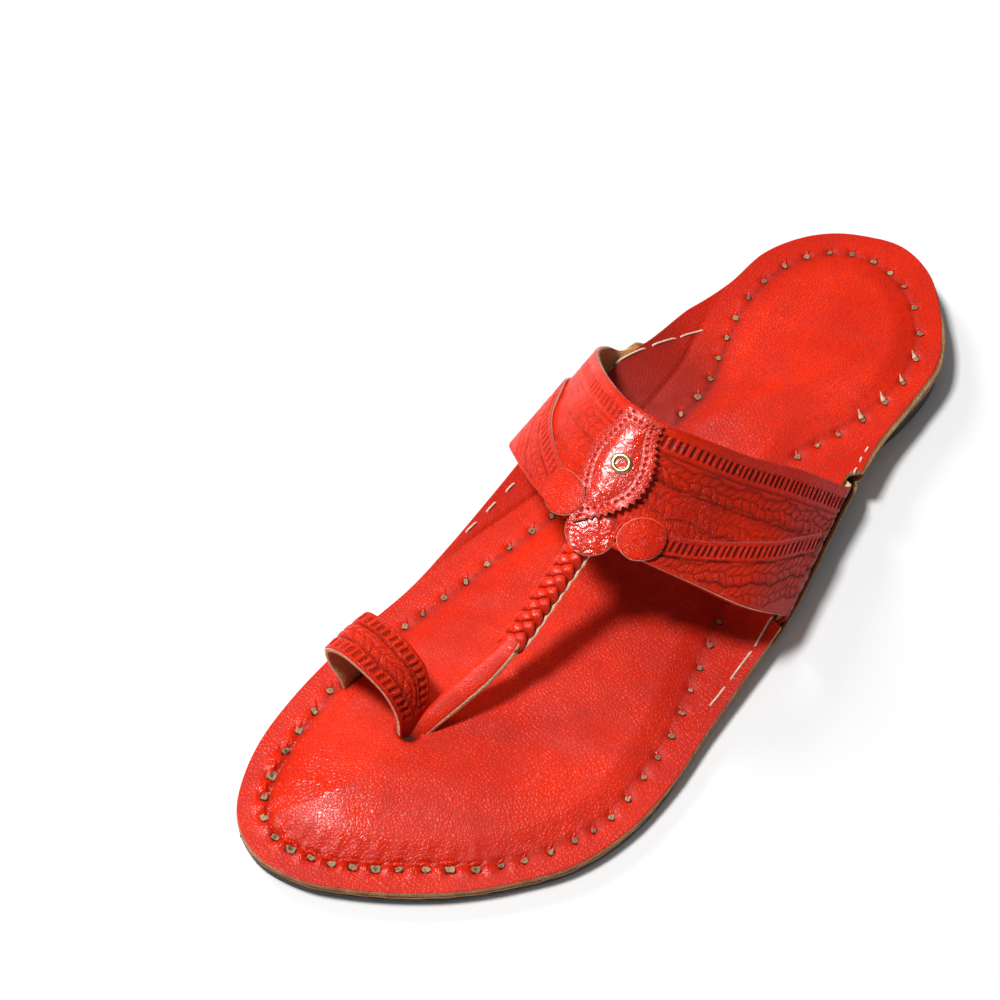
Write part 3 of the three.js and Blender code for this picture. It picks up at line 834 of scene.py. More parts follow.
@dataclass
class SolePlan:
    """Outline, layers and heights of the sole, shared by every piece that meets it."""

    toe: float = -133.0
    heel: float = 132.0
    rise: float = 6.5
    rise_start: float = 8.0
    rise_end: float = 52.0
    spring: float = 1.0
    spring_start: float = -88.0
    outsole: float = 1.5
    midsole: float = 1.0
    insole: float = 1.8
    dome: float = 1.8
    ear_reach: float = 12.0
    ear_lift: float = 3.0
    ear_limit: float = 1.4
    ear_curve: float = 1.2
    notch_depth: float = 3.6
    notch_eases: tuple[Pair, Pair] = ((1.5, 20.0), (0.5, 4.0))
    medial_foot: Pair = (5.0, 53.0)
    lateral_foot: Pair = (7.0, 55.0)
    rows: tuple[tuple[float, float, float, float, float], ...] = (
        (-133, -18.5, -12.5, -18.5, -12.5), (-130.5, -25.6, -3.2, -25.6, -3.2), (-126, -31, 4.9, -31, 4.9),
        (-118, -36, 16, -36, 16), (-108, -39.8, 27, -39.8, 27), (-96, -42, 36.8, -42, 36.8),
        (-82, -43, 45.4, -43, 45.4), (-66, -42.8, 49.5, -42.8, 49.5), (-48, -41.2, 49.3, -41.7, 49.6),
        (-30, -38.8, 44.6, -42.6, 47), (-10, -35.8, 37.6, -44.3, 44.6), (14, -31.5, 29.5, -46.4, 41.6),
        (36, -28.5, 23.5, -47.2, 36.6), (54, -29.5, 21, -45.6, 32.2), (70, -34, 25, -41.6, 28.4),
        (88, -38.7, 26.7, -38.9, 26.9), (104, -38.2, 24.6, -38.2, 24.6), (116, -33.2, 17.3, -33.2, 17.3),
        (124, -26.4, 9.8, -26.4, 9.8), (129, -18.5, 3.6, -18.5, 3.6), (132, -11, -4.5, -11, -4.5),
    )

    def __post_init__(self) -> None:
        """Traces the two outlines."""
        self.body_sides = self._sides(1, 2)
        self.ear_sides = self._sides(3, 4)

    def _sides(self, medial: int, lateral: int) -> tuple[Array, Array]:
        """The two halves of an outline, toe tip to heel tip, from two columns of the table.

        Args:
            medial: the column of the medial edge.
            lateral: the column of the lateral edge.
        Returns:
            The medial and the lateral half, each in the order of y.
        """
        points = [(row[medial], row[0]) for row in self.rows]
        points += [(row[lateral], row[0]) for row in reversed(self.rows)]
        loop = catmull(np.array(points), np.linspace(0, 1, 4000, endpoint=False), closed=True)
        toe, heel = int(np.argmin(loop[:, 1])), int(np.argmax(loop[:, 1]))
        loop = np.roll(loop, -toe, axis=0)
        heel = (heel - toe) % len(loop)
        first, second = loop[: heel + 1], np.vstack([loop[:1], loop[heel:][::-1]])
        halves = (first, second) if first[:, 0].mean() < second[:, 0].mean() else (second, first)
        return tuple(half[np.argsort(half[:, 1], kind="stable")] for half in halves)

    def edges(self, y: Array, ears: bool = False) -> tuple[Array, Array]:
        """Medial and lateral edge at a station, with or without the ears."""
        sides = self.ear_sides if ears else self.body_sides
        return tuple(np.interp(y, side[:, 1], side[:, 0]) for side in sides)

    def notch(
        self, foot: Pair, y: Array, wide: float = 0.0, eases: Pair = (3.0, 3.0)
    ) -> Array:
        """1 along a foot of the band, 0 beside it.

        Args:
            foot: its front and rear.
            y: stations.
            wide: how far the notch goes beyond the foot.
            eases: how long it runs out in front and behind.
        Returns:
            The depth as a share.
        """
        front, rear = foot[0] - wide, foot[1] + wide
        return smooth(front - eases[0], front, y) * (1 - smooth(rear, rear + eases[1], y))

    def outline(self, count: int, ears: bool = False, notched: bool = False) -> tuple[Array, Array]:
        """A closed outline and the middle that belongs to each of its points.

        Args:
            count: points on each half.
            ears: whether the ears stand out.
            notched: whether the band's feet are cut in.
        Returns:
            The outline and the middles, one (x, y) a row.
        """
        halves = []
        sides = self.ear_sides if ears else self.body_sides
        feet = (self.medial_foot, self.lateral_foot)
        for side, (front, rear), eases, inwards in zip(sides, feet, self.notch_eases, (1, -1)):
            half = even(side, count)
            if notched:
                cut = self.notch((front + 0.5, rear), half[:, 1], 0.0, eases)
                half[:, 0] += inwards * self.notch_depth * cut
            halves.append(half)
        middle = (halves[0] + halves[1]) / 2
        low, high = self.toe + 40, self.heel - 34
        run = middle[:, 1].clip(low, high)
        middle = np.stack([np.interp(run, middle[:, 1], middle[:, 0]), run], axis=1)
        rim = np.vstack([halves[0], halves[1][-2:0:-1]])
        hub = np.vstack([middle, middle[-2:0:-1]])
        return rim, hub

    def underside(self, y: Array) -> Array:
        """Height of the outsole's underside."""
        spring = np.maximum(0, (self.spring_start - y) / (self.spring_start - self.toe))
        return self.rise * smooth(self.rise_start, self.rise_end, y) + self.spring * spring**2

    def outside(self, x: Array, y: Array) -> Array:
        """How far a place lies outside the sole's own edge."""
        medial, lateral = self.edges(y)
        return np.maximum(0, np.maximum(medial - x, x - lateral))

    def lift(self, x: Array, y: Array) -> Array:
        """How far an ear has risen at a place."""
        reach = self.outside(x, y) / self.ear_reach
        return self.ear_lift * np.minimum(self.ear_limit, reach) ** self.ear_curve

    def midsole_under(self, y: Array) -> Array:
        """Height of the midsole's underside."""
        return self.underside(y) + self.outsole + GAP

    def insole_under(self, x: Array, y: Array) -> Array:
        """Height of the insole's underside."""
        return self.midsole_under(y) + self.midsole + GAP + self.lift(x, y)


LACE_HOLES = np.array([
    (28.2, -1.3), (30.8, -8.5), (33.2, -15.8), (35.6, -22.7), (38.1, -29.6), (40.4, -36.7), (41.7, -44.1),
    (42.6, -51.0), (43.4, -58.4), (43.6, -65.3), (42.6, -71.2), (40.8, -76.5), (38.2, -82.9),
    (34.8, -89.1), (31.2, -94.1), (27.1, -99.1), (22.2, -103.4), (17.6, -107.4), (12.4, -111.9),
    (8.0, -115.7), (3.3, -119.1), (-1.3, -122.0), (-6.4, -124.2), (-11.8, -125.8), (-17.2, -126.0),
    (-23.2, -123.9), (-27.4, -119.4), (-30.1, -113.8), (-32.6, -106.2), (-34.1, -99.5), (-35.1, -92.6),
    (-36.2, -85.4), (-36.8, -78.2), (-36.4, -71.2), (-35.6, -64.4), (-34.6, -57.7), (-33.6, -51.6),
    (-32.7, -44.1), (-31.6, -36.4), (-31.0, -28.3), (-29.9, -20.2), (-28.8, -12.0), (-27.9, -4.6),
    (-26.5, 3.5), (-25, 11.5), (-23.5, 19.5), (-22, 27.5), (-21, 35), (-20.3, 42.5), (-20.2, 49.9),
    (-21.5, 57.2), (-24.3, 64.6), (-27.0, 71.8), (-29.5, 79.2), (-31.3, 87.6), (-31.6, 95.4),
    (-30.6, 103.9), (-27.8, 110.9), (-23.6, 116.6), (-18.3, 120.5), (-11.8, 122.3), (-5.6, 122.0),
    (0.4, 120.6), (7.2, 116.2), (14.0, 109.4), (18.6, 101.1), (20.8, 91.9), (20.9, 82.9), (19.8, 73.9),
    (17.6, 65.4), (15.4, 58.6), (13.6, 51.9), (14.5, 44), (16.5, 36), (18.8, 28), (21.2, 20.5),
    (23.6, 13), (26, 5.6),
])


@dataclass
class LaceLine:
    """The closed line of holes that laces the layers, with distances to it."""

    steps: int = 4200
    stride: int = 6
    block: int = 20000

    def __post_init__(self) -> None:
        """Traces the line and marks each hole on it."""
        fine = catmull(LACE_HOLES, np.linspace(0, 1, self.steps, endpoint=False), closed=True)
        self.line = fine
        self.run = lengths(np.vstack([fine, fine[:1]]))[:-1]
        marks = np.linspace(0, 1, len(LACE_HOLES), endpoint=False) * len(fine)
        self.marks = self.run[marks.astype(int)]
        ahead = np.roll(fine, -self.stride, axis=0) - np.roll(fine, self.stride, axis=0)
        self.tangent = unit(ahead)
        middle = fine.mean(axis=0)
        side = np.stack([self.tangent[:, 1], -self.tangent[:, 0]], axis=1)
        away = ((fine - middle) * side).sum(axis=1) > 0
        self.outwards = side if away.mean() > 0.5 else -side

    def measure(self, x: Array, y: Array) -> tuple[Array, Array]:
        """Where places lie against the line.

        Args:
            x: across the sandal.
            y: along the sandal.
        Returns:
            Signed distance outwards from the line, and distance along it to the nearest hole.
        """
        flat = np.stack([x.ravel(), y.ravel()], axis=1)
        coarse = self.line[::self.stride]
        nearest = np.empty(len(flat), dtype=int)
        for start in range(0, len(flat), self.block):
            part = slice(start, start + self.block)
            apart = ((flat[part, None, :] - coarse[None]) ** 2).sum(axis=2)
            nearest[part] = apart.argmin(axis=1) * self.stride
        gap = flat - self.line[nearest]
        along = (gap * self.tangent[nearest]).sum(axis=1)
        out = (gap * self.outwards[nearest]).sum(axis=1)
        total = self.run[-1] + np.linalg.norm(self.line[-1] - self.line[0])
        place = self.run[nearest] + np.clip(along, -3, 3)
        apart = np.abs(place[:, None] - self.marks[None, :])
        apart = np.minimum(apart, total - apart).min(axis=1)
        return out.reshape(x.shape), apart.reshape(x.shape)


@dataclass
class Part:
    """A sub-assembly, with the finishes that dress it."""

    finishes: Finishes


@dataclass
class Insole(Part):
    """The red top sole with its ears, domed inside the lacing and creased where the foot bends."""

    plan: SolePlan
    lace: LaceLine
    around: int = 520
    across: int = 76
    groove: float = 0.16
    pucker: float = 0.16
    thong_slot: Pair = (-10.9, -82.3)
    loop_slot: Pair = (-34.2, -75.4)
    # Patches of painted shade laid into the rim mask: around the band and beside the thong; the others are
    # darker patches at the toe, heel and forefoot.
    shade_patches: tuple[tuple[float, float, float, float, float], ...] = (
        (-14, 36, 12, 13, 0.8), (4, 24, 14, 8, 0.5), (28, -30, 9, 16, 0.4), (14, -52, 9, 22, 0.3),
        (6, -98, 12, 8, 0.35), (-5, 99, 13, 17, 0.4), (-30, -112, 5, 12, 0.3), (26, -86, 9, 9, 0.3),
        (-22, -52, 9, 12, 0.45),
    )
    creases: tuple[tuple[Pair, Pair, float, float], ...] = (
        ((-14, 40), (6, 96), 0.5, 3.2),
        ((-2, 36), (13, 80), -0.35, 3.6),
        ((-16, -2), (22, -14), -0.28, 3.4),
        ((-24, 6), (12, 14), 0.22, 3.0),
        ((-6, -50), (34, -62), -0.22, 5.0),
        ((-30, -98), (-4, -112), 0.25, 6.0),
        ((2, -92), (26, -80), 0.2, 6.0),
        ((-26, -46), (-12, -20), -0.3, 4.0),
        ((-22, 60), (-16, 104), -0.3, 4.0),
    )

    def relief(self, x: Array, y: Array) -> tuple[Array, Array]:
        """What the hand and the foot have done to the flat leather.

        Args:
            x: across.
            y: along.
        Returns:
            Height to add, and the tone masks, which carry painted shade.
        """
        out, apart = self.lace.measure(x, y)
        plan = self.plan
        outside = plan.outside(x, y)
        on_ear = smooth(0.2, 2.0, outside)
        inside = smooth(-0.3, -9.0, out)
        toe = smooth(*TOE_PUCKERS, y)
        dome = plan.dome * inside * (0.8 + 0.2 * smooth(-4, -22, out))
        near = bump(out, 2.0) * (1 - on_ear)
        cup = bump(np.hypot(out / 1.3, apart / 1.15), 1.0)
        pillow = (self.pucker + 0.4 * toe) * near * smooth(0.9, 2.9, apart)
        groove = (self.groove + 0.3 * toe) * bump(out + 1.2, 0.8)
        height = dome - groove + pillow - 0.6 * cup
        pinch = (0.03 + 0.1 * toe) * bump(out + 4.0, 2.4) * np.cos(apart * 1.3)
        height += pinch + 0.14 * ripple(x, y, 23.0, 1.2) * inside + 0.03 * crumple(x, y, 7.3, 4.0)
        height += 3.0 * smooth(-58, -106, y) * smooth(-1.0, -27.0, out)
        height += toe * (0.4 * smooth(-0.3, -5.0, out) + 0.32 * bump(out, 2.6) * crumple(x, y, 2.6, 1.0))
        for (x0, y0), (x1, y1), rise, width in self.creases:
            height += self._ridge(x, y, (x0, y0), (x1, y1), width) * rise
        height -= 0.35 * bump(outside - 1.0, 0.9) * smooth(-38, -20, y) * (1 - smooth(62, 78, y))
        # The slot wells for the thong and the toe loop are sunk and filled with painted shadow.
        dark = np.zeros_like(x)
        for (cx, cy), wide, long in ((self.thong_slot, 3.3, 3.0), (self.loop_slot, 1.6, 7.8)):
            reach = np.sqrt(((x - cx) / wide) ** 2 + ((y - cy) / long) ** 2)
            well = 1 - smooth(0.7, 1.15, reach)
            height -= 1.5 * well
            dark = np.maximum(dark, well)
        # Painted shade behind the band on the medial side, over the ear and the waist.
        shade = 0.5 * smooth(-7.0, 3.0, out) * (x < -6) * smooth(20, 34, y) * (1 - smooth(54, 76, y))
        # Painted shade in each lace hole's cup, in the groove along the lacing, in the slot wells and behind
        # the band.
        shade_and_dirt = np.clip(0.45 * cup + 0.25 * bump(out + 1.0, 1.2) * (1 - on_ear) + dark + shade, 0, 1)
        # Rim darkens outside the lacing line, on the ears and just inside the lacing; the shade patches add
        # painted shade.
        rim = 0.3 * smooth(1.0, 6.0, out) + 0.3 * on_ear + 0.25 * bump(out + 3.0, 3.0)
        for cx, cy, wide, long, amount in self.shade_patches:
            reach = np.hypot((x - cx) / wide, (y - cy) / long) + 0.25 * ripple(x, y, 21.0, cx)
            rim += amount * bump(reach, 1.0)
        rim = np.clip(rim, 0, 1.15)
        worn = 0.9 * bump(np.hypot((x + 17) / 22, (y + 111) / 10), 1.0) + 0.8 * near * toe
        return height, np.stack([shade_and_dirt, rim, np.clip(worn, 0, 1)], axis=-1)

    @staticmethod
    def _ridge(
        x: Array, y: Array, a: Pair, b: Pair, width: float
    ) -> Array:
        """A soft ridge from one place to another, fading at both ends.

        Args:
            x: across.
            y: along.
            a: one end.
            b: the other end.
            width: half its width.
        Returns:
            Its height, up to 1.
        """
        run = np.array(b) - np.array(a)
        long = float(np.hypot(*run))
        t = ((x - a[0]) * run[0] + (y - a[1]) * run[1]) / long**2
        bow = 2.2 * np.sin(np.clip(t, 0, 1) * math.pi)
        off = ((x - a[0]) * run[1] - (y - a[1]) * run[0]) / long - bow
        return bump(off, width) * smooth(-0.15, 0.25, t) * (1 - smooth(0.75, 1.15, t))

    def top(self, x: Array, y: Array) -> Array:
        """Height of the insole's upper face."""
        return self.plan.insole_under(x, y) + self.plan.insole + self.relief(x, y)[0]

    def make(self) -> Piece:
        """Builds the insole.

        Returns:
            The insole.
        """
        rim, hub = self.plan.outline(self.around, ears=True, notched=True)
        grid = PlateGrid(top=self.across, under=5, bevel=0.5, wall=2)
        skive = 0.1 + 1.0 * smooth(50, 68, rim[:, 1]) * (1 - smooth(112, 126, rim[:, 1])) * (rim[:, 0] > 0)
        rim = rim - 0.3 * skive[:, None] * unit(rim - hub)
        rings, kinds = grid.rings(rim, hub, self.top, self.plan.insole_under, crowd=1.5, skive=skive)
        tone = self.relief(rings[..., 0], rings[..., 1])[1]
        tone[:, self.across + 3:, 0] = 0
        draft = Draft("insole_leather")
        draft.grid(rings, kinds, tone, round_rows=True)
        looks = [self.finishes.insole, self.finishes.raw, self.finishes.flesh]
        return draft.build(looks, Slot.RED, "insole", merge=True)


@dataclass
class Lacing(Part):
    """The grey-tan thong that shows in each hole, with a dark lens of painted shadow at the hole's lower
    side, and the hole's raised lip.
    """

    insole: Insole
    sides: int = 16
    # the direction that points down the view from the camera, towards which each hole's painted shadow is set
    down: Pair = (0.656, -0.755)
    # profile of the dark lens of painted shadow in each hole
    hole_shadow: tuple[Pair, ...] = ((0.02, 0.1), (0.6, 0.1), (0.95, 0.02), (1.0, -0.5), (0.02, -0.5))
    nub: tuple[Pair, ...] = (
        (0.02, 0.2), (0.3, 0.3), (0.6, 0.3), (0.85, 0.18), (1.0, 0.0), (1.0, -0.5), (0.02, -0.5),
    )

    def make(self) -> Piece:
        """Builds every visible bit of the lacing as one piece.

        Returns:
            The lacing.
        """
        draft = Draft("lacing")
        line = self.insole.lace
        down = np.array(self.down)
        for index, hole in enumerate(LACE_HOLES):
            place = int(index / len(LACE_HOLES) * len(line.line))
            out, along = line.outwards[place], line.tangent[place]
            toe = float(smooth(*TOE_PUCKERS, hole[1]))
            lean = (0.9 + 0.3 * math.sin(index * 2.4)) * (1 - toe)
            cut = unit(along + lean * out)
            side = np.array([-cut[1], cut[0]])
            size = (1 + 0.14 * math.sin(index * 1.7)) * (1 + 0.36 * toe)
            yaw = 0.55 * math.sin(index * 5.3)
            turned = cut * math.cos(yaw) + side * math.sin(yaw)
            across = side * math.cos(yaw) - cut * math.sin(yaw)
            slim = 0.82 + 0.16 * math.sin(index * 3.1)
            # A near-black lens set towards the lower side of the hole as the camera sees it: the painted
            # shadow in the hole.
            mouth = hole + 0.25 * size * down
            self._button(draft, mouth, cut * 1.05 * size, side * 0.8 * size, self.hole_shadow, 1, 0.0)
            dirt = 0.5 + 0.5 * math.sin(index * 7.7)
            self._button(draft, hole, turned * 0.84 * size, across * 0.86 * slim * size, self.nub, 0, dirt)
            above = hole - 1.0 * size * down + 0.3 * size * along
            self._lip(draft, above, cut, side, size * (1 + 0.15 * toe))
            if hole[0] > 16 and 70 < hole[1] < 104:
                self._flake(draft, hole, size)
        looks = self.finishes
        return draft.build([looks.lace, looks.hole_shadow, looks.insole, looks.pale], Slot.RAW)

    def _drop(self, flat: Array) -> Array:
        """Height of the leather below flat places."""
        return self.insole.top(flat[..., 0], flat[..., 1])

    def _button(
        self, draft: Draft, middle: Array, a: Array, b: Array, profile: tuple, kind: int, dirt: float
    ) -> None:
        """A small closed dome with rounded corners.

        Args:
            draft: the mesh that it goes into.
            middle: where it sits.
            a: its half length as a vector.
            b: its half width as a vector.
            profile: reach and height from its top to its bottom.
            kind: material index.
            dirt: how dark it is.
        """
        turn = full_turn(self.sides)
        reach, rise = np.array(profile).T
        corner = 1 + 0.16 * np.abs(np.sin(2 * turn)) + 0.08 * np.sin(3 * turn + 9 * dirt)
        spokes = (corner * (np.cos(turn) * a[:, None] + np.sin(turn) * b[:, None])).T
        flat = middle + spokes[:, None, :] * reach[None, :, None]
        tilt = 1 + 0.35 * np.cos(turn + 6 * dirt)[:, None] * reach[None, :]
        tone = blank(flat)
        # Each nub's own random darkness, darker towards its middle, and painted shade round the foot of every
        # button.
        tone[..., 0] = 0.2 * dirt + 0.6 * smooth(0.7, 0.0, reach) * dirt + 0.15 * smooth(0.8, 1.0, reach)
        height = self._drop(flat) + rise[None, :] * np.where(rise[None, :] > 0, tilt, 1)
        draft.grid(np.dstack([flat, height]), kind, tone, round_rows=True)

    def _lip(self, draft: Draft, hole: Array, cut: Array, side: Array, size: float) -> None:
        """A low ridge that the pull of the thong has raised beside the hole.

        Args:
            draft: the mesh that it goes into.
            hole: where the hole is.
            cut: direction of the slit.
            side: direction across the slit.
            size: its scale.
        """
        t = np.linspace(0, 1, 9)
        swell = np.sin(math.pi * (0.04 + 0.92 * t))
        spine = hole + (t[:, None] * 3.0 - 1.5) * cut * size
        profile = np.array([(-1.0, -0.5), (-0.8, 0.2), (-0.3, 0.85), (0.2, 1.0), (0.7, 0.5), (1.0, -0.5)])
        flat = spine[:, None, :] + profile[None, :, :1] * (0.5 * size * swell)[:, None, None] * side
        height = self._drop(flat) + 0.34 * size * profile[None, :, 1] * swell[:, None]
        tone = np.zeros((*height.shape, 4))
        tone[..., 2] = 1.0
        draft.grid(np.dstack([flat, height]), 2, tone, round_columns=True, capped=True)

    def _flake(self, draft: Draft, hole: Array, size: float) -> None:
        """A pointed sliver of raw leather that stands up beside the hole.

        Args:
            draft: the mesh that it goes into.
            hole: where the hole is.
            size: its scale.
        """
        t = np.linspace(0, 1, 6)
        ahead = np.array([-0.92, 0.38])
        side = np.array([0.38, 0.92])
        spine = hole + 0.4 * ahead + t[:, None] * 2.4 * size * ahead
        wide = 0.95 * size * (1 - t) + 0.04
        profile = np.array([(-1.0, 0.0), (0.0, 1.0), (1.0, 0.0), (0.0, -1.0)])
        flat = spine[:, None, :] + profile[None, :, :1] * wide[:, None, None] * side
        height = self._drop(flat) + 0.25 + 0.7 * t[:, None] + 0.22 * profile[None, :, 1] * (1.1 - t[:, None])
        draft.grid(np.dstack([flat, height]), 3, round_columns=True, capped=True)


@dataclass
class EarStitching(Part):
    """Long running stitches of thick thread along the ears."""

    insole: Insole
    thick: float = 0.32
    paths: tuple[tuple[Pair, ...], ...] = (
        ((42.4, -24), (41.9, -14), (40.8, -3), (38.6, 9)),
        ((-33.5, 70), (-37.6, 60), (-41.4, 50), (-44.0, 41)),
        ((-41.5, -30), (-41.8, -20), (-41.9, -8), (-42.0, 3)),
        ((26.6, 67), (28.0, 61.5), (29.6, 56)),
    )
    spans: tuple[tuple[Pair, ...], ...] = (
        ((0.4, 8.0), (9.8, 21.0), (21.6, 33.0)),
        ((0.5, 8.6), (9.4, 18.0), (19.6, 30.0)),
        ((5.0, 9.6), (13.5, 18.0), (22.0, 26.0)),
        ((0.2, 2.2), (4.6, 6.6), (9.0, 11.0)),
    )

    def make(self) -> Piece:
        """Builds every stitch as one piece.

        Returns:
            The stitching.
        """
        draft = Draft("ear_stitching")
        for path, spans in zip(self.paths, self.spans):
            line = trace(path, 300, 600)
            for start, stop in spans:
                self._stitch(draft, line, start, stop)
        return draft.build([self.finishes.thread], Slot.RAW)

    def _stitch(self, draft: Draft, line: Array, start: float, stop: float) -> None:
        """One stitch: a round thread that dives into the leather at both ends.

        Args:
            draft: the mesh that it goes into.
            line: the path of the stitches.
            start: where it starts along the path.
            stop: where it ends.
        """
        t = np.linspace(0, 1, 17)
        flat = read_along(line, lengths(line), start + (stop - start) * t)
        flat = flat + 0.08 * np.sin(3 * t + start)[:, None]
        sink = 0.9 * (np.abs(2 * t - 1) ** 6)
        height = self.insole.top(flat[:, 0], flat[:, 1]) + 0.2 - sink
        centre = np.column_stack([flat, height])
        ahead = unit(np.gradient(centre, axis=0))
        side = unit(np.cross(ahead, np.array([0.0, 0.0, 1.0])))
        rings = tube(centre, side, np.cross(side, ahead), self.thick, self.thick, 9)
        draft.grid(rings, round_columns=True, capped=True)


@dataclass
class EarLayers(Part):
    """The raw lower layers that stand out under the ears and hold the band's feet."""

    plan: SolePlan
    thick: float = 1.0
    clear: float = 3.0
    dip: float = 2.2
    rows: tuple[Pair, ...] = ((-38.0, 76.0), (-36.0, 68.0))

    def make(self) -> list[Piece]:
        """Builds the medial and the lateral layer.

        Returns:
            Both layers.
        """
        pieces = []
        feet = (self.plan.medial_foot, self.plan.lateral_foot)
        for index, (name, sign, foot) in enumerate(zip(("ear_medial", "ear_lateral"), (-1, 1), feet)):
            y = np.linspace(*self.rows[index], 170)
            inner = self.plan.edges(y)[index] + sign * (self.clear * self.plan.notch(foot, y, 3.0) + GAP)
            outer = self.plan.edges(y, ears=True)[index]
            eased = self.plan.notch(foot, y, 0.0, self.plan.notch_eases[index])
            eased = eased * smooth(foot[1], foot[1] + 4, y)
            outer = np.maximum(sign * outer - self.plan.notch_depth * eased, sign * inner + 0.8) * sign
            share = np.concatenate([[0.0], np.linspace(0.02, 0.98, 9), [1.0]])
            x = inner[:, None] + (outer - inner)[:, None] * share
            wide = np.broadcast_to(y[:, None], x.shape)
            top = self.plan.insole_under(x, wide) - GAP - self.dip * self.plan.notch(foot, wide, 3.0)
            top += 0.06 * ripple(x, wide, 9.0, 3.0)
            rolled = self.thick * 0.22 * (np.abs(2 * share - 1) > 0.99)
            upper = np.dstack([x, wide, top - rolled])
            lower = np.dstack([x, wide, top - self.thick + rolled])[:, ::-1]
            loop = np.concatenate([upper, lower], axis=1)
            kinds = np.zeros(loop.shape[1], dtype=int)
            kinds[9:13] = 1
            tone = blank(loop)
            # Painted shade on the layer where it dips beside the band's foot; its cut edge stays clear.
            tone[..., 0] = np.repeat(self.plan.notch(foot, y, 1.0)[:, None], loop.shape[1], axis=1)
            tone[:, 9:13, 0] = 0
            draft = Draft(f"{name}_layer")
            draft.grid(loop, kinds, tone, round_columns=True, capped=True)
            pieces.append(draft.build([self.finishes.flesh, self.finishes.raw], Slot.RAW, name))
        return pieces


@dataclass
class LowerSole(Part):
    """Midsole, studded outsole and heel block."""

    plan: SolePlan
    around: int = 260
    stud_pitch: float = 3.4
    stud: float = 0.5

    def make(self) -> list[Piece]:
        """Builds the three layers below the insole.

        Returns:
            Midsole, outsole and heel.
        """
        rim, hub = self.plan.outline(self.around)
        return [
            self._midsole(rim, hub),
            self._outsole(rim, hub),
            self._heel(),
        ]

    def _midsole(self, rim: Array, hub: Array) -> Piece:
        """The leather layer under the insole, its edge a little wavy.

        Args:
            rim: the sole's outline.
            hub: the middle that belongs to each rim point.
        Returns:
            The midsole.
        """
        plan = self.plan
        behind = 0.7 * smooth(50, 66, rim[:, 1]) * (rim[:, 0] > -6)
        flare = 0.12 * ripple(rim[:, 0], rim[:, 1], 7.0, 2.0) + behind
        rings, _ = PlateGrid(top=7, under=7, bevel=0.22, wall=2).rings(
            rim + unit(rim - hub) * flare[:, None],
            hub,
            lambda x, y: plan.midsole_under(y) + plan.midsole,
            lambda x, y: plan.midsole_under(y),
        )
        draft = Draft("midsole_leather")
        draft.grid(rings, round_rows=True)
        return draft.build([self.finishes.raw], Slot.RAW, "midsole", merge=True)

    def _studs(self, draft: Draft, floor: Callable[[Array], Array], low: float, high: float) -> None:
        """Adds rows of small round studs under a face between two stations.

        Args:
            draft: the mesh that they go into.
            floor: height of the face at y.
            low: the first station.
            high: the last station.
        """
        spots = []
        row = 0
        y = low
        while y < high:
            medial, lateral = (float(v) for v in self.plan.edges(np.array(y)))
            x = medial + 1.2 + (row % 2) * self.stud_pitch / 2
            while x < lateral - 1.0:
                spots.append((x, y))
                x += self.stud_pitch
            y += self.stud_pitch * 0.87
            row += 1
        turn = full_turn(6)
        reach = np.array([1.0, 0.8, 0.02])
        drop = np.array([-0.12, self.stud, self.stud])
        for x, y in spots:
            base = float(floor(np.array(y)))
            px = x + 0.85 * np.cos(turn)[:, None] * reach
            py = y + 0.85 * np.sin(turn)[:, None] * reach
            draft.grid(np.dstack([px, py, base - drop + 0 * px]), 0, round_rows=True)

    def _outsole(self, rim: Array, hub: Array) -> Piece:
        """The thin rubber outsole with its studs.

        Args:
            rim: the sole's outline.
            hub: the middle that belongs to each rim point.
        Returns:
            The outsole.
        """
        plan = self.plan
        rings, _ = PlateGrid(top=7, under=7, bevel=0.2, wall=2).rings(
            rim,
            hub,
            lambda x, y: plan.underside(y) + plan.outsole,
            lambda x, y: plan.underside(y) + self.stud,
        )
        draft = Draft("outsole_rubber")
        draft.grid(rings, round_rows=True)
        self._studs(draft, lambda y: plan.underside(y) + self.stud, plan.toe + 3, plan.rise_end - 4)
        return draft.build([self.finishes.rubber], Slot.RUBBER, "outsole", merge=True)

    def _heel(self) -> Piece:
        """The heel block, its front face a little hollow, with studs under it.

        Returns:
            The heel.
        """
        plan = self.plan
        front = plan.rise_end - 2
        rim, _ = plan.outline(420)
        rim = rim[rim[:, 1] > front]
        start = np.argmax(np.linalg.norm(np.diff(rim, axis=0), axis=1))
        rim = np.roll(rim, -(start + 1), axis=0)
        t = np.linspace(0, 1, 26)[1:-1, None]
        face = rim[-1] + (rim[0] - rim[-1]) * t
        face[:, 1] += 1.2 * np.sin(math.pi * t[:, 0])
        rim = np.vstack([rim, face])
        hub = np.column_stack([np.full(len(rim), -6.0), rim[:, 1].clip(front + 24, plan.heel - 34)])
        rings, _ = PlateGrid(top=6, under=6, bevel=0.5, wall=5).rings(
            rim, hub, lambda x, y: plan.underside(y) - GAP, lambda x, y: 0 * y + self.stud
        )
        draft = Draft("heel_rubber")
        draft.grid(rings, round_rows=True)
        self._studs(draft, lambda y: 0 * y + self.stud, front + 3, plan.heel - 3)
        return draft.build([self.finishes.rubber], Slot.RUBBER, "heel", merge=True)


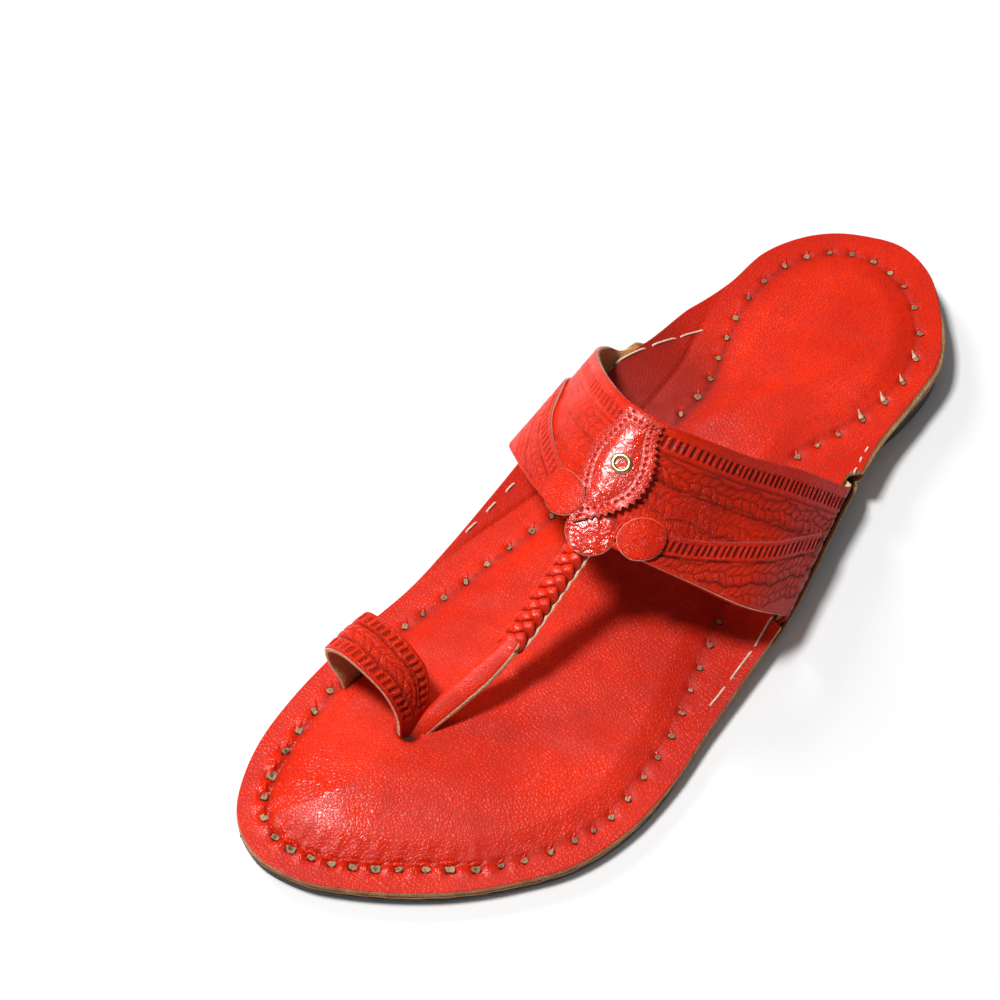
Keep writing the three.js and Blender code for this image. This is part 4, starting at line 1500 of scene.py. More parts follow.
class Stamps:
    """Hand stamping: each gives a height from 0, untouched, to -1, fully pressed."""

    @staticmethod
    def ladder(a: Array, v: Array, low: float, high: float, pitch: float) -> Array:
        """A row of short bars between two pressed slots.

        Args:
            a: distance along the strap.
            v: distance from its rear edge.
            low: where the row starts.
            high: where it ends.
            pitch: from bar to bar.
        Returns:
            The height.
        """
        wobble = 0.12 * np.sin(a * 0.9) + 0.09 * np.sin(a * 2.3 + 1)
        phase = np.abs(((a + wobble) / pitch) % 1 - 0.5) * 2
        window = smooth(low - 0.3, low + 0.2, v) * (1 - smooth(high - 0.2, high + 0.3, v))
        return -smooth(0.34, 0.66, phase) * window

    @staticmethod
    def line(v: Array, at: float, width: float = 0.34) -> Array:
        """A scribed line."""
        return -bump(v - at, width)

    @staticmethod
    def leaves(a: Array, v: Array, at: float, reach: float, pitch: float, slant: float) -> Array:
        """Two rows of plump leaves that lean away from a stem, with pressed lines between them.

        Args:
            a: distance along the strap.
            v: distance from its rear edge.
            at: the stem.
            reach: length of a leaf across the strap.
            pitch: from leaf to leaf.
            slant: how far a leaf runs back for each millimetre from the stem.
        Returns:
            The height.
        """
        bent = v + 0.5 * np.sin(a * 0.42) + 0.25 * np.sin(a * 1.15 + 2)
        off = bent - at
        wide = np.abs(off) / reach
        run = (a + slant * np.abs(off) + 0.5 * pitch * (off > 0) + 0.35 * np.sin(v * 1.3 + a * 0.3)) / pitch
        phase = np.abs(run % 1 - 0.5) * 2
        narrow = np.sqrt(np.clip(1 - np.clip(wide, 0, 1) ** 3, 0, 1))
        body = np.sqrt(np.clip(1 - (phase * 1.01) ** 4, 0, 1)) * narrow
        stem = bump(off, 0.28)
        window = 1 - smooth(0.95, 1.2, wide)
        return -np.maximum(1 - body, 0.75 * stem) * window


def crowded(a: Array) -> Array:
    """Distance along the band as the stamps count it: their pitch gets smaller towards the lateral foot."""
    far = np.minimum(a + 10, 0)
    return a - 0.0045 * far**2


@dataclass
class BandShape:
    """The bent surface of the instep band, which every ornament on it shares."""

    plan: SolePlan
    thick: float = 1.5
    tuck: float = 1.4
    bend: float = 1.5
    inset: float = 0.8
    foot_gap: float = 0.5
    sections: tuple[tuple[Triple, Triple], ...] = (
        ((31.2, 51, 13.8), (42.4, 9.5, 9.3)), ((28, 47, 17.8), (40.6, 4.5, 14.8)),
        ((21.5, 40, 24.9), (35, -4, 23.3)), ((13, 29, 34.7), (22.6, -10, 28.9)),
        ((4, 19.5, 44.6), (10.8, -15.4, 33.7)), ((-6, 13.5, 49.8), (-1.4, -18.8, 35.7)),
        ((-16, 12.5, 50.3), (-13, -19.2, 35.9)), ((-27, 17, 46.3), (-25, -15.2, 32.9)),
        ((-37, 25, 38.3), (-36.4, -8.6, 26.7)), ((-44, 34, 28.3), (-43.5, -3, 20.3)),
        ((-46.6, 42.5, 18.8), (-45.6, 2, 13.8)), ((-45.4, 46.5, 13.8), (-44.6, 5, 9.3)),
    )

    def __post_init__(self) -> None:
        """Lays a fine lattice over the surface, with its normals."""
        steps = np.linspace(0, 1, 900)
        middle = catmull(self._controls(0.5), steps)
        run = lengths(middle)
        self.half = run[-1] / 2
        centre = run[len(run) // 2]
        self.across = np.linspace(-centre, run[-1] - centre, 480)
        t = np.interp(self.across + centre, run, steps)
        self.shares = np.linspace(-0.06, 1.3, 110)
        lattice = np.stack([catmull(self._controls(share), t) for share in self.shares], axis=1)
        self.points = self._soften(lattice)
        along = np.gradient(self.points, axis=0)
        down = np.gradient(self.points, axis=1)
        self.normals = unit(np.cross(along, down))
        low, high = self.at(np.array([0.0]), np.array([0.0]))[0], self.at(np.array([0.0]), np.array([1.0]))[0]
        self.width = float(np.linalg.norm(high - low))

    @staticmethod
    def _soften(lattice: Array) -> Array:
        """Evens out small kinks along the band, and keeps its ends.

        Args:
            lattice: points along and down the band.
        Returns:
            The lattice, evened out.
        """
        span = np.arange(-14, 15)
        weights = np.exp(-((span / 6.0) ** 2))
        weights /= weights.sum()
        padded = np.pad(lattice, ((14, 14), (0, 0), (0, 0)), mode="edge")
        even_out = sum(w * padded[14 + k:14 + k + len(lattice)] for w, k in zip(weights, span))
        end = smooth(0, 60, np.minimum(np.arange(len(lattice)), np.arange(len(lattice))[::-1]))
        return lattice + (even_out - lattice) * end[:, None, None]

    def _foot(self, index: int, y: float) -> list[list[float]]:
        """Three points of a foot, folded under its ear.

        Args:
            index: 0 for the medial foot, 1 for the lateral one.
            y: the station.
        Returns:
            Its points from the fold to the outside.
        """
        sign = (-1, 1)[index]
        plan = self.plan
        half = self.thick / 2
        outer = float(plan.edges(np.array(y), ears=True)[index]) - sign * (plan.notch_depth - 2 * GAP - half)
        inner = float(plan.edges(np.array(y))[index]) + sign * self.tuck
        bend = outer - sign * self.bend
        under = (float(plan.insole_under(np.array(x), np.array(y))) for x in (inner, bend))
        level = [height - self.foot_gap - half for height in under]
        return [[inner, y, level[0]], [bend, y, level[1]], [outer, y, level[1] + self.bend]]

    def _controls(self, share: float) -> Array:
        """The points of the band's curve at a share of its width.

        Args:
            share: share of the width from the rear edge.
        Returns:
            Its points from the lateral to the medial foot.
        """
        held = min(max(share, 0), 1)
        ends = []
        for index, (front, rear) in enumerate((self.plan.medial_foot, self.plan.lateral_foot)):
            ends.append(self._foot(index, rear - self.inset + (front + 2 * self.inset - rear) * held))
        arch = [np.array(rear) + (np.array(front) - np.array(rear)) * share for rear, front in self.sections]
        return np.array(ends[1] + [list(point) for point in arch] + ends[0][::-1])

    def at(self, across: Array, share: Array) -> tuple[Array, Array]:
        """Places on the surface.

        Args:
            across: millimetres from the middle, towards medial.
            share: share of the width from the rear edge.
        Returns:
            Points and normals, with 3 added as the last size.
        """
        across, share = np.broadcast_arrays(across, share)
        rows, columns = len(self.across), len(self.shares)
        i = np.clip((across - self.across[0]) / (self.across[1] - self.across[0]), 0, rows - 1.001)
        j = np.clip((share - self.shares[0]) / (self.shares[1] - self.shares[0]), 0, columns - 1.001)
        i0, j0 = i.astype(int), j.astype(int)
        across_weights, share_weights = self._weights(i - i0), self._weights(j - j0)

        def blend(table: Array) -> Array:
            """The table at the places, smoothly between its own.

            Args:
                table: numbers at each lattice point.
            Returns:
                Its numbers at the places.
            """
            total = 0.0
            for m, weight in enumerate(across_weights):
                row = np.clip(i0 + m - 1, 0, rows - 1)
                for n, other in enumerate(share_weights):
                    column = np.clip(j0 + n - 1, 0, columns - 1)
                    total += (weight * other)[..., None] * table[row, column]
            return total

        return blend(self.points), unit(blend(self.normals))

    @staticmethod
    def _weights(t: Array) -> tuple[Array, ...]:
        """Weights of the four lattice lines round a place, for a curve without corners."""
        return (
            (-t + 2 * t**2 - t**3) / 2,
            (2 - 5 * t**2 + 3 * t**3) / 2,
            (t + 4 * t**2 - 3 * t**3) / 2,
            (t**3 - t**2) / 2,
        )

    def lifted(self, across: Array, share: Array, lift: Array | float) -> Array:
        """Places at a lift above the band's middle surface."""
        points, normals = self.at(across, share)
        return points + normals * np.asarray(lift)[..., None]


@dataclass
class Band(Part):
    """The stamped instep band."""

    shape: BandShape
    rows: int = 540
    columns: int = 112
    press: float = 0.44
    leaf_rows: tuple[tuple[float, ...], ...] = (
        (0.8, 1.0, 18.6, 3.4, 2.7, 0.8), (0.75, 0.0, 25.6, 3.2, 2.6, -0.75), (0.7, 0.0, 31.6, 2.6, 2.5, 0.75),
    )

    def stamp(self, a: Array, v: Array) -> Array:
        """Height of the stamping, which is lighter towards the medial side.

        Args:
            a: distance along the band.
            v: distance from its rear edge.
        Returns:
            The height, 0 or less.
        """
        light = 0.3 + 0.7 * smooth(26, -10, a)
        b = crowded(a)
        worn = 0.75 + 0.25 * ripple(a, v, 17.0, 5.0)
        deep = Stamps.ladder(b, v, 3.0, 6.0, 2.1) + 0.8 * Stamps.line(v, 7.6)
        deep += 0.95 * Stamps.leaves(b, v, 11.6, 2.7, 3.1, 0.85)
        deep += 0.5 * Stamps.line(v, 14.9, 0.3)
        for depth, start, *row in self.leaf_rows:
            deep += depth * worn * Stamps.leaves(b + start, v, *row)
        deep += 0.3 * crumple(a, v, 2.8, 2.2) * smooth(8, 12, v)
        return self.press * light * deep

    def make(self) -> Piece:
        """Builds the band with its stamping and raw edges.

        Returns:
            The band.
        """
        shape = self.shape
        half = shape.thick / 2
        a = np.linspace(shape.across[0], shape.across[-1], self.rows)[:, None]
        share = np.linspace(0, 1, self.columns)[None, :]
        v = share * shape.width
        relief = self.stamp(a + 0 * v, v + 0 * a)
        edge = np.minimum(v, shape.width - v)
        bevel = rounded(edge, 0.5, 0.3)
        top = shape.lifted(a, share, half + relief - bevel)
        low = shape.lifted(a, np.linspace(1, 0, 16)[None, :], -half)
        front, rear = (shape.lifted(a, np.full((1, 1), end), 0.35 * half) for end in (1.0, 0.0))
        loop = np.concatenate([top, front, low, rear], axis=1)
        kinds = np.full(loop.shape[1], 2)
        kinds[: self.columns + 1] = 0
        kinds[-2:] = 1
        tone = blank(loop)
        # Painted shade in the pressed lines of the stamping.
        tone[:, : self.columns, 0] = np.clip(-relief / self.press * 0.75, 0, 0.75)
        tone[:, : self.columns, 1] = 0.4 * (1 - smooth(0.4, 2.0, edge)) + 0.3 * smooth(-30, -50, a)
        tone[:, : self.columns, 2] = 0.3 * smooth(0.0, 0.5, 1 + relief / self.press)
        # A painted pale sheen towards the lateral foot.
        tone[:, : self.columns, 3] = 0.35 * smooth(-48, -62, a)
        tone[:, self.columns - 1: self.columns + 2, 1] = 1.0
        draft = Draft("instep_band")
        draft.grid(loop, kinds, tone, round_columns=True, capped=True)
        return draft.build([self.finishes.band, self.finishes.pale, self.finishes.flesh], Slot.RED, "upper")


@dataclass
class FrontStrips(Part):
    """The two crescent overlays along the band's front edge."""

    shape: BandShape
    thick: float = 1.0
    lift: float = 0.95
    press: float = 0.38
    front: float = 1.004
    columns: int = 66
    lateral: tuple[Pair, ...] = (
        (-8.8, 0.80), (-21, 0.76), (-30, 0.71), (-40, 0.62), (-51, 0.52), (-60, 0.42), (-64.5, 0.38),
    )
    medial: tuple[Pair, ...] = (
        (6.6, 0.78), (12, 0.73), (18, 0.68), (25.5, 0.62), (33, 0.54), (38.5, 0.42), (44, 0.35), (54, 0.34),
    )

    def make(self) -> list[Piece]:
        """Builds both strips."""
        return [
            self._strip("front_strip_lateral", self.lateral, 1.0),
            self._strip("front_strip_medial", self.medial, 0.5),
        ]

    def _strip(
        self, name: str, table: tuple[Pair, ...], light: float
    ) -> Piece:
        """Builds one strip.

        Args:
            name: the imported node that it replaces.
            table: its rear edge, across and share.
            light: how deep the stamping goes.
        Returns:
            The strip.
        """
        shape = self.shape
        line = trace(np.array(table) * (1, shape.width), 200, 300)
        a = line[:, :1]
        rear = line[:, 1:] / shape.width
        share = rear + (self.front - rear) * np.linspace(0, 1, self.columns)[None, :]
        v = (share - rear) * shape.width
        b = crowded(a) + 0 * v
        deep = Stamps.ladder(b, v, 1.4, 4.2, 2.05) + 0.8 * Stamps.line(v, 5.5)
        deep += 0.85 * Stamps.leaves(b, v, 8.6, 2.6, 2.6, 0.8)
        deep += 0.8 * Stamps.leaves(b, v, 14.2, 2.7, 2.5, 0.8)
        deep *= smooth(0.2, 1.0, (1 - share) * shape.width)
        relief = self.press * light * deep
        edge = np.minimum(v, (self.front - share) * shape.width)
        bevel = rounded(edge, 0.4, 0.25)
        base = self.lift - 0.1
        top = shape.lifted(a, share, base + self.thick + relief - bevel)
        low = shape.lifted(a, share[:, ::-8], base)
        loop = np.concatenate([top, low], axis=1)
        kinds = np.full(loop.shape[1], 1)
        kinds[: self.columns - 1] = 0
        tone = blank(loop)
        # Painted shade in the pressed lines.
        tone[:, : self.columns, 0] = np.clip(-relief / self.press * 0.75, 0, 0.75)
        tone[:, : self.columns, 1] = 0.3 * (1 - smooth(0.4, 2.0, edge)) + 0.3 * smooth(-30, -50, a)
        # A painted pale sheen towards the lateral end, and a painted highlight along the rear edge.
        tone[:, : self.columns, 3] = 0.35 * smooth(-46, -60, a)
        tone[:, :2, 3] = 0.9
        draft = Draft(f"{name}_leather")
        draft.grid(loop, kinds, tone, round_columns=True, capped=True)
        return draft.build([self.finishes.band, self.finishes.pale], Slot.RED, name)


@dataclass(frozen=True)
class DiscPlace:
    """Where a disc sits and how it stands."""

    name: str
    across: float
    share: float
    radius: float
    low: float
    crown: float
    node: str | None


@dataclass
class Discs(Part):
    """Two discs, and the glazed tab that the thong hangs from."""

    shape: BandShape
    thick: float = 1.1
    around: int = 96
    places: tuple[DiscPlace, ...] = (
        DiscPlace("disc_lateral_leather", -15.6, 0.87, 5.85, 1.9, 0.35, "disc_lateral"),
        DiscPlace("disc_medial_leather", 6.9, 0.86, 5.9, 2.45, 0.25, "disc_medial"),
        DiscPlace("thong_tab", -3.6, 0.985, 6.2, 0.75, 0.5, None),
    )

    def make(self) -> list[Piece]:
        """Builds the three round pieces."""
        return [self._disc(place) for place in self.places]

    def _disc(self, place: DiscPlace) -> Piece:
        """Builds one disc with a crowned face, a raw rim and a few wrinkles.

        Args:
            place: where it sits and how it stands.
        Returns:
            The disc.
        """
        turn = full_turn(self.around)
        wobble = 1 + 0.02 * np.sin(2 * turn + 0.5) + 0.012 * np.sin(5 * turn)
        rim = np.stack([np.cos(turn), np.sin(turn)], axis=1) * place.radius * wobble[:, None]
        tab = place.node is None

        def top(x: Array, y: Array) -> Array:
            """Height above the seat.

            Args:
                x: across from the disc's middle.
                y: down from it.
            Returns:
                The height.
            """
            reach = np.hypot(x, y) / place.radius
            crown = place.crown * (1 - reach**2)
            crease = 0.16 * crumple(x, y, 3.4 if tab else 4.2, 1.0 + place.across)
            return place.low + self.thick + crown + crease * (1.5 if tab else 0.7)

        grid = PlateGrid(top=20, under=3, bevel=0.3, wall=2)
        rings, kinds = grid.rings(rim, 0 * rim, top, lambda x, y: place.low + 0 * x)
        across = place.across + rings[..., 0]
        share = place.share + rings[..., 1] / self.shape.width
        solid = self.shape.lifted(across, share, rings[..., 2])
        tone = blank(rings)
        reach = np.hypot(rings[..., 0], rings[..., 1]) / place.radius
        tone[..., 1] = 0.5 * smooth(0.75, 1.0, reach)
        tone[..., 2] = 1.0 if tab else 0.4
        draft = Draft(place.name)
        draft.grid(solid, np.minimum(kinds, 1), tone, round_rows=True)
        nodes = (place.node,) if place.node else ()
        face = self.finishes.glazed if tab else self.finishes.band
        return draft.build([face, self.finishes.pale], Slot.GLAZED, *nodes, merge=True)


@dataclass
class Leaf(Part):
    """The pinked and punched leaf that covers the middle of the band."""

    shape: BandShape
    low: float = 0.95
    thick: float = 1.0
    tooth: float = 0.95
    tooth_pitch: float = 1.85
    dot_inset: float = 2.1
    dot_pitch: float = 1.75
    oval_inset: float = 3.3
    rows: tuple[Triple, ...] = (
        (0.035, 4.6, -6.2), (0.10, 5.0, -6.2), (0.18, 5.7, -6.8), (0.30, 7.1, -8.6), (0.42, 7.8, -9.8),
        (0.54, 7.4, -10.0), (0.64, 6.4, -9.2), (0.73, 5.2, -7.2), (0.82, 3.6, -4.6), (0.91, 2.4, -1.6),
        (0.985, 2.0, 0.8),
    )

    def _outline(self) -> tuple[Array, Array]:
        """Traces the leaf.

        Returns:
            The pinked outline, across and down, and the table of widths in millimetres.
        """
        table = np.array(self.rows) * (self.shape.width, 1, 1)
        medial = trace(table[:, [1, 0]], 300, 200)
        lateral = trace(table[:, [2, 0]], 300, 200)
        rear = lateral[0] + (medial[0] - lateral[0]) * np.linspace(0, 1, 40)[1:-1, None]
        sides = []
        for side, sign in ((medial, 1), (lateral, -1)):
            run = lengths(side)
            ahead = unit(np.gradient(side, axis=0))
            out = np.stack([ahead[:, 1], -ahead[:, 0]], axis=1) * sign
            phase = np.abs((run / self.tooth_pitch) % 1 - 0.5) * 2
            strength = smooth(0, 1.5, run) * (1 - smooth(run[-1] - 5, run[-1] - 2, run))
            sides.append(side + out * ((phase - 0.4) * self.tooth * strength)[:, None])
        return np.vstack([rear, sides[0], sides[1][::-1]]), table

    def make(self) -> Piece:
        """Builds the leaf with its teeth, dots and scribed oval.

        Returns:
            The leaf.
        """
        rim, table = self._outline()
        hub = np.column_stack([
            np.interp(rim[:, 1], table[:, 0], (table[:, 1] + table[:, 2]) / 2),
            rim[:, 1].clip(table[0, 0] + 5.5, table[-1, 0] - 6),
        ])
        smooth_rim = np.array([(m, s) for s, m, _ in table] + [(l, s) for s, _, l in table[::-1]])
        dots, guide = self._dots(smooth_rim)

        def top(x: Array, y: Array) -> Array:
            """Height above the seat.

            Args:
                x: across the leaf.
                y: down the leaf.
            Returns:
                The height.
            """
            inset = self._nearest(x, y, guide)
            nearest = self._nearest(x, y, dots)
            height = self._seat(x, y) + self.thick + 0.35 * smooth(3.2, 6.0, inset)
            height -= 0.4 * bump(nearest, 0.34) + 0.14 * bump(inset - self.oval_inset, 0.28)
            return height + 0.07 * crumple(x, y, 4.2, 0.4)

        grid = PlateGrid(top=44, under=3, bevel=0.18, wall=1)
        rings, kinds = grid.rings(rim, hub, top, self._seat, crowd=1.15)
        x, y = rings[..., 0], rings[..., 1]
        solid = self.shape.lifted(x, y / self.shape.width, rings[..., 2])
        nearest = self._nearest(x, y, dots)
        inset = self._nearest(x, y, guide)
        # The first mask paints shade into the punched dots and the scribed oval.
        tone = np.stack([
            np.clip(0.7 * bump(nearest, 0.36) + 0.3 * bump(inset - self.oval_inset, 0.28), 0, 1),
            0.5 * (1 - smooth(0.3, 2.0, inset)),
            smooth(3.0, 5.0, inset),
        ], axis=-1)
        draft = Draft("band_leaf")
        draft.grid(solid, np.minimum(kinds, 1), tone, round_rows=True)
        return draft.build([self.finishes.glazed, self.finishes.pale], Slot.GLAZED, "leaf", merge=True)

    def _seat(self, x: Array, y: Array) -> Array:
        """Height of the leaf's underside: it rises over the tab, and its lateral edge curls up.

        Args:
            x: across the leaf.
            y: down the leaf.
        Returns:
            The height above the band.
        """
        share = y / self.shape.width
        over_tab = 1.35 * smooth(0.70, 0.86, share)
        curl = 0.9 * smooth(-3.5, -10.0, x) * smooth(0.05, 0.35, share)
        return self.low + over_tab + curl

    @staticmethod
    def _nearest(x: Array, y: Array, spots: Array) -> Array:
        """Distance to the nearest of some spots."""
        return np.min(np.hypot(x[..., None] - spots[:, 0], y[..., None] - spots[:, 1]), axis=-1)

    def _dots(self, rim: Array) -> tuple[Array, Array]:
        """Places of the punched dots, and a coarse outline to measure from.

        Args:
            rim: the leaf's outline without teeth.
        Returns:
            The dots and the outline.
        """
        loop = even(np.vstack([rim, rim[:1]]), 160)
        ahead = unit(np.roll(loop, -1, axis=0) - np.roll(loop, 1, axis=0))
        inwards = np.stack([-ahead[:, 1], ahead[:, 0]], axis=1)
        middle = loop.mean(axis=0)
        if ((middle - loop) * inwards).sum() < 0:
            inwards = -inwards
        inner = even(loop + inwards * self.dot_inset, 400)
        count = int(lengths(inner)[-1] / self.dot_pitch)
        return even(inner, count + 1)[:-1], loop


@dataclass
class Eyelet(Part):
    """The rolled brass eyelet through the leaf."""

    shape: BandShape
    across: float = -1.7
    share: float = 0.43
    ring: float = 2.05
    roll: float = 0.6
    seat: float = 2.4
    around: int = 48

    def make(self) -> Piece:
        """Builds the rolled flange and the tube that runs down from it.

        Returns:
            The eyelet.
        """
        turn = full_turn(self.around)
        section = np.linspace(-0.25 * math.pi, 1.25 * math.pi, 14)
        radius = self.ring + self.roll * np.cos(section)
        height = self.seat + 0.85 * self.roll * np.sin(section)
        down = np.linspace(0, 1, 4)[1:]
        radius = np.concatenate([radius, np.full(3, radius[-1])])
        height = np.concatenate([height, height[-1] - 1.4 * down])
        radius = np.concatenate([radius, radius[::-1] + 0.12])
        height = np.concatenate([height, height[::-1] - 0.06])
        x = self.across + np.cos(turn)[:, None] * radius
        y = np.sin(turn)[:, None] * radius
        solid = self.shape.lifted(x, self.share + y / self.shape.width, height[None, :] + 0 * x)
        draft = Draft("brass_eyelet")
        draft.grid(solid, 0, round_rows=True, round_columns=True)
        return draft.build([self.finishes.brass], Slot.BRASS, "eyelet")


@dataclass
class Thong(Part):
    """The thong: a three-strand plait from the tab, then a folded strap into the sole."""

    centres: tuple[Triple, ...] = (
        (-3.6, -18.6, 37.2), (-3.8, -21.8, 35.2), (-4.0, -25.4, 32.0), (-3.7, -37, 26.3), (-3.4, -49, 20.5),
        (-4.4, -57, 17.1), (-6.6, -67, 13.1), (-8.9, -77, 8.7), (-10, -81.5, 5.7), (-10.4, -82.6, 3.9),
    )
    plait_start: float = 3.0
    plait_end: float = 37.5
    plait_rows: int = 260
    strap_rows: int = 150
    period: float = 10.8
    sway: float = 2.2
    weave: float = 0.85
    strand_wide: float = 1.5
    strand_thick: float = 0.74
    strap_wide: tuple[Pair, ...] = (
        (0, 1.9), (0.12, 2.7), (0.35, 3.2), (0.6, 3.0), (0.85, 2.4), (1, 1.8),
    )
    strap_thick: tuple[Pair, ...] = ((0, 1.5), (0.12, 1.7), (0.5, 1.75), (0.85, 1.6), (1, 1.3))
    strap_tilt: tuple[Pair, ...] = ((0, 0.05), (0.3, 0.2), (1, 0.3))
    profile: tuple[Pair, ...] = (
        (1.0, -0.10), (1.02, -0.42), (0.98, -0.72), (0.86, -0.86), (0.6, -0.98), (0.25, -1.05),
        (-0.15, -1.02), (-0.5, -0.9), (-0.78, -0.68), (-0.95, -0.36), (-1.0, 0.0), (-0.95, 0.36),
        (-0.78, 0.66), (-0.5, 0.84), (-0.1, 0.92), (0.3, 0.95), (0.66, 0.93), (0.86, 0.9), (1.1, 0.56),
        (1.12, 0.2), (0.98, 0.06), (0.8, 0.0),
    )
    # Columns of the raw edge, which take the pale cut edge: painted light on an edge that the lamps leave in
    # shade.
    raw_edge: tuple[int, int] = (17, 19)

    def __post_init__(self) -> None:
        """Traces the centre line with its side and up directions."""
        self.line = trace(self.centres, 500, 700)
        self.run = lengths(self.line)
        ahead = unit(np.gradient(self.line, axis=0))
        side = np.array([1.0, 0.0, 0.0])
        self.side = unit(side - ahead * (side * ahead).sum(axis=1, keepdims=True))
        self.up = np.cross(ahead, self.side)

    def _at(self, run: Array) -> tuple[Array, Array, Array]:
        """Centre, side and up directions at distances along the thong."""
        centre, side, up = (read_along(table, self.run, run) for table in (self.line, self.side, self.up))
        return centre, unit(side), unit(up)

    def make(self) -> list[Piece]:
        """Builds the plait and the strap."""
        return [self._plait(), self._strap()]

    def _plait(self) -> Piece:
        """Three flat strands, each over and under the other two.

        Returns:
            The plait.
        """
        draft = Draft("thong_plait")
        run = np.linspace(self.plait_start, self.plait_end, self.plait_rows)
        centre, side, up = self._at(run)
        ease = 1 - 0.25 * smooth(self.plait_end - 5, self.plait_end, run)
        ease *= smooth(self.plait_start - 1, self.plait_start + 5, run)
        for strand in range(3):
            phase = 2 * math.pi * (run / self.period + strand / 3)
            across = self.sway * np.sin(phase) * (0.75 + 0.25 * ease)
            over = self.weave * np.sin(2 * phase + 0.25) * ease
            across += 0.14 * np.sin(2.3 * run + 2 * strand)
            over += 0.1 * np.sin(1.7 * run + strand)
            path = centre + side * across[:, None] + up * over[:, None]
            ahead = unit(np.gradient(path, axis=0))
            wide = unit(np.cross(ahead, up))
            tall = np.cross(wide, ahead)
            roll = 0.3 * np.cos(phase)
            a = wide * np.cos(roll)[:, None] + tall * np.sin(roll)[:, None]
            b = tall * np.cos(roll)[:, None] - wide * np.sin(roll)[:, None]
            turn = full_turn(18)
            flat = np.sign(np.cos(turn)) * np.abs(np.cos(turn)) ** 0.7 * self.strand_wide
            high = np.sign(np.sin(turn)) * np.abs(np.sin(turn)) ** 0.8 * self.strand_thick
            ring = flat[:, None] * a[:, None, :] + high[:, None] * b[:, None, :]
            tone = np.zeros((len(run), len(turn), 3))
            # Painted shade where a strand passes under the others and along both its edges.
            tone[..., 0] = 0.75 * smooth(0.1, -0.8, over / self.weave)[:, None]
            tone[..., 0] += 0.5 * smooth(0.85, 1.0, np.abs(np.cos(turn)))[None, :]
            tone[..., 2] = 0.6
            draft.grid(path[:, None] + ring, 0, tone, round_columns=True, capped=True)
        reach = 3.5 - 0.9 * smooth(self.plait_end - 5, self.plait_end, run) + 0.12 * np.sin(run * 1.7)
        raw_line = centre + side * reach[:, None] - up * 0.3
        draft.grid(tube(raw_line, side, up, 0.45, 0.3, 8), 1, round_columns=True, capped=True)
        return draft.build([self.finishes.plait, self.finishes.pale], Slot.RED)

    def _strap(self) -> Piece:
        """The folded strap: round on the medial side, with a raw edge on the lateral side.

        Returns:
            The strap.
        """
        total = self.run[-1]
        run = np.linspace(self.plait_end - 3.5, total, self.strap_rows)
        t = (run - run[0]) / (total - run[0])
        centre, side, up = self._at(run)
        wide, thick, tilt = (
            np.interp(t, *np.array(table).T) for table in (self.strap_wide, self.strap_thick, self.strap_tilt)
        )
        profile = np.array(self.profile)
        a = side * np.cos(tilt)[:, None] - up * np.sin(tilt)[:, None]
        b = up * np.cos(tilt)[:, None] + side * np.sin(tilt)[:, None]
        loop = (
            centre[:, None, :]
            + profile[None, :, :1] * (wide[:, None, None] * a[:, None, :])
            + profile[None, :, 1:] * (thick[:, None, None] * b[:, None, :])
        )
        kinds = np.zeros(len(profile), dtype=int)
        kinds[slice(*self.raw_edge)] = 1
        tone = blank(loop)
        # Painted shade in the fold's mouth near the plait, fading down the strap, and towards the end where
        # the strap goes into the sole.
        tone[:, -2:, 0] = 0.7 * (1 - smooth(0.2, 0.5, t))[:, None]
        tone[..., 0] = np.maximum(tone[..., 0], 0.8 * smooth(0.8, 1.0, t)[:, None])
        draft = Draft("thong_strap")
        draft.grid(loop, kinds, tone, round_columns=True, capped=True)
        return draft.build([self.finishes.strap, self.finishes.pale], Slot.RED)


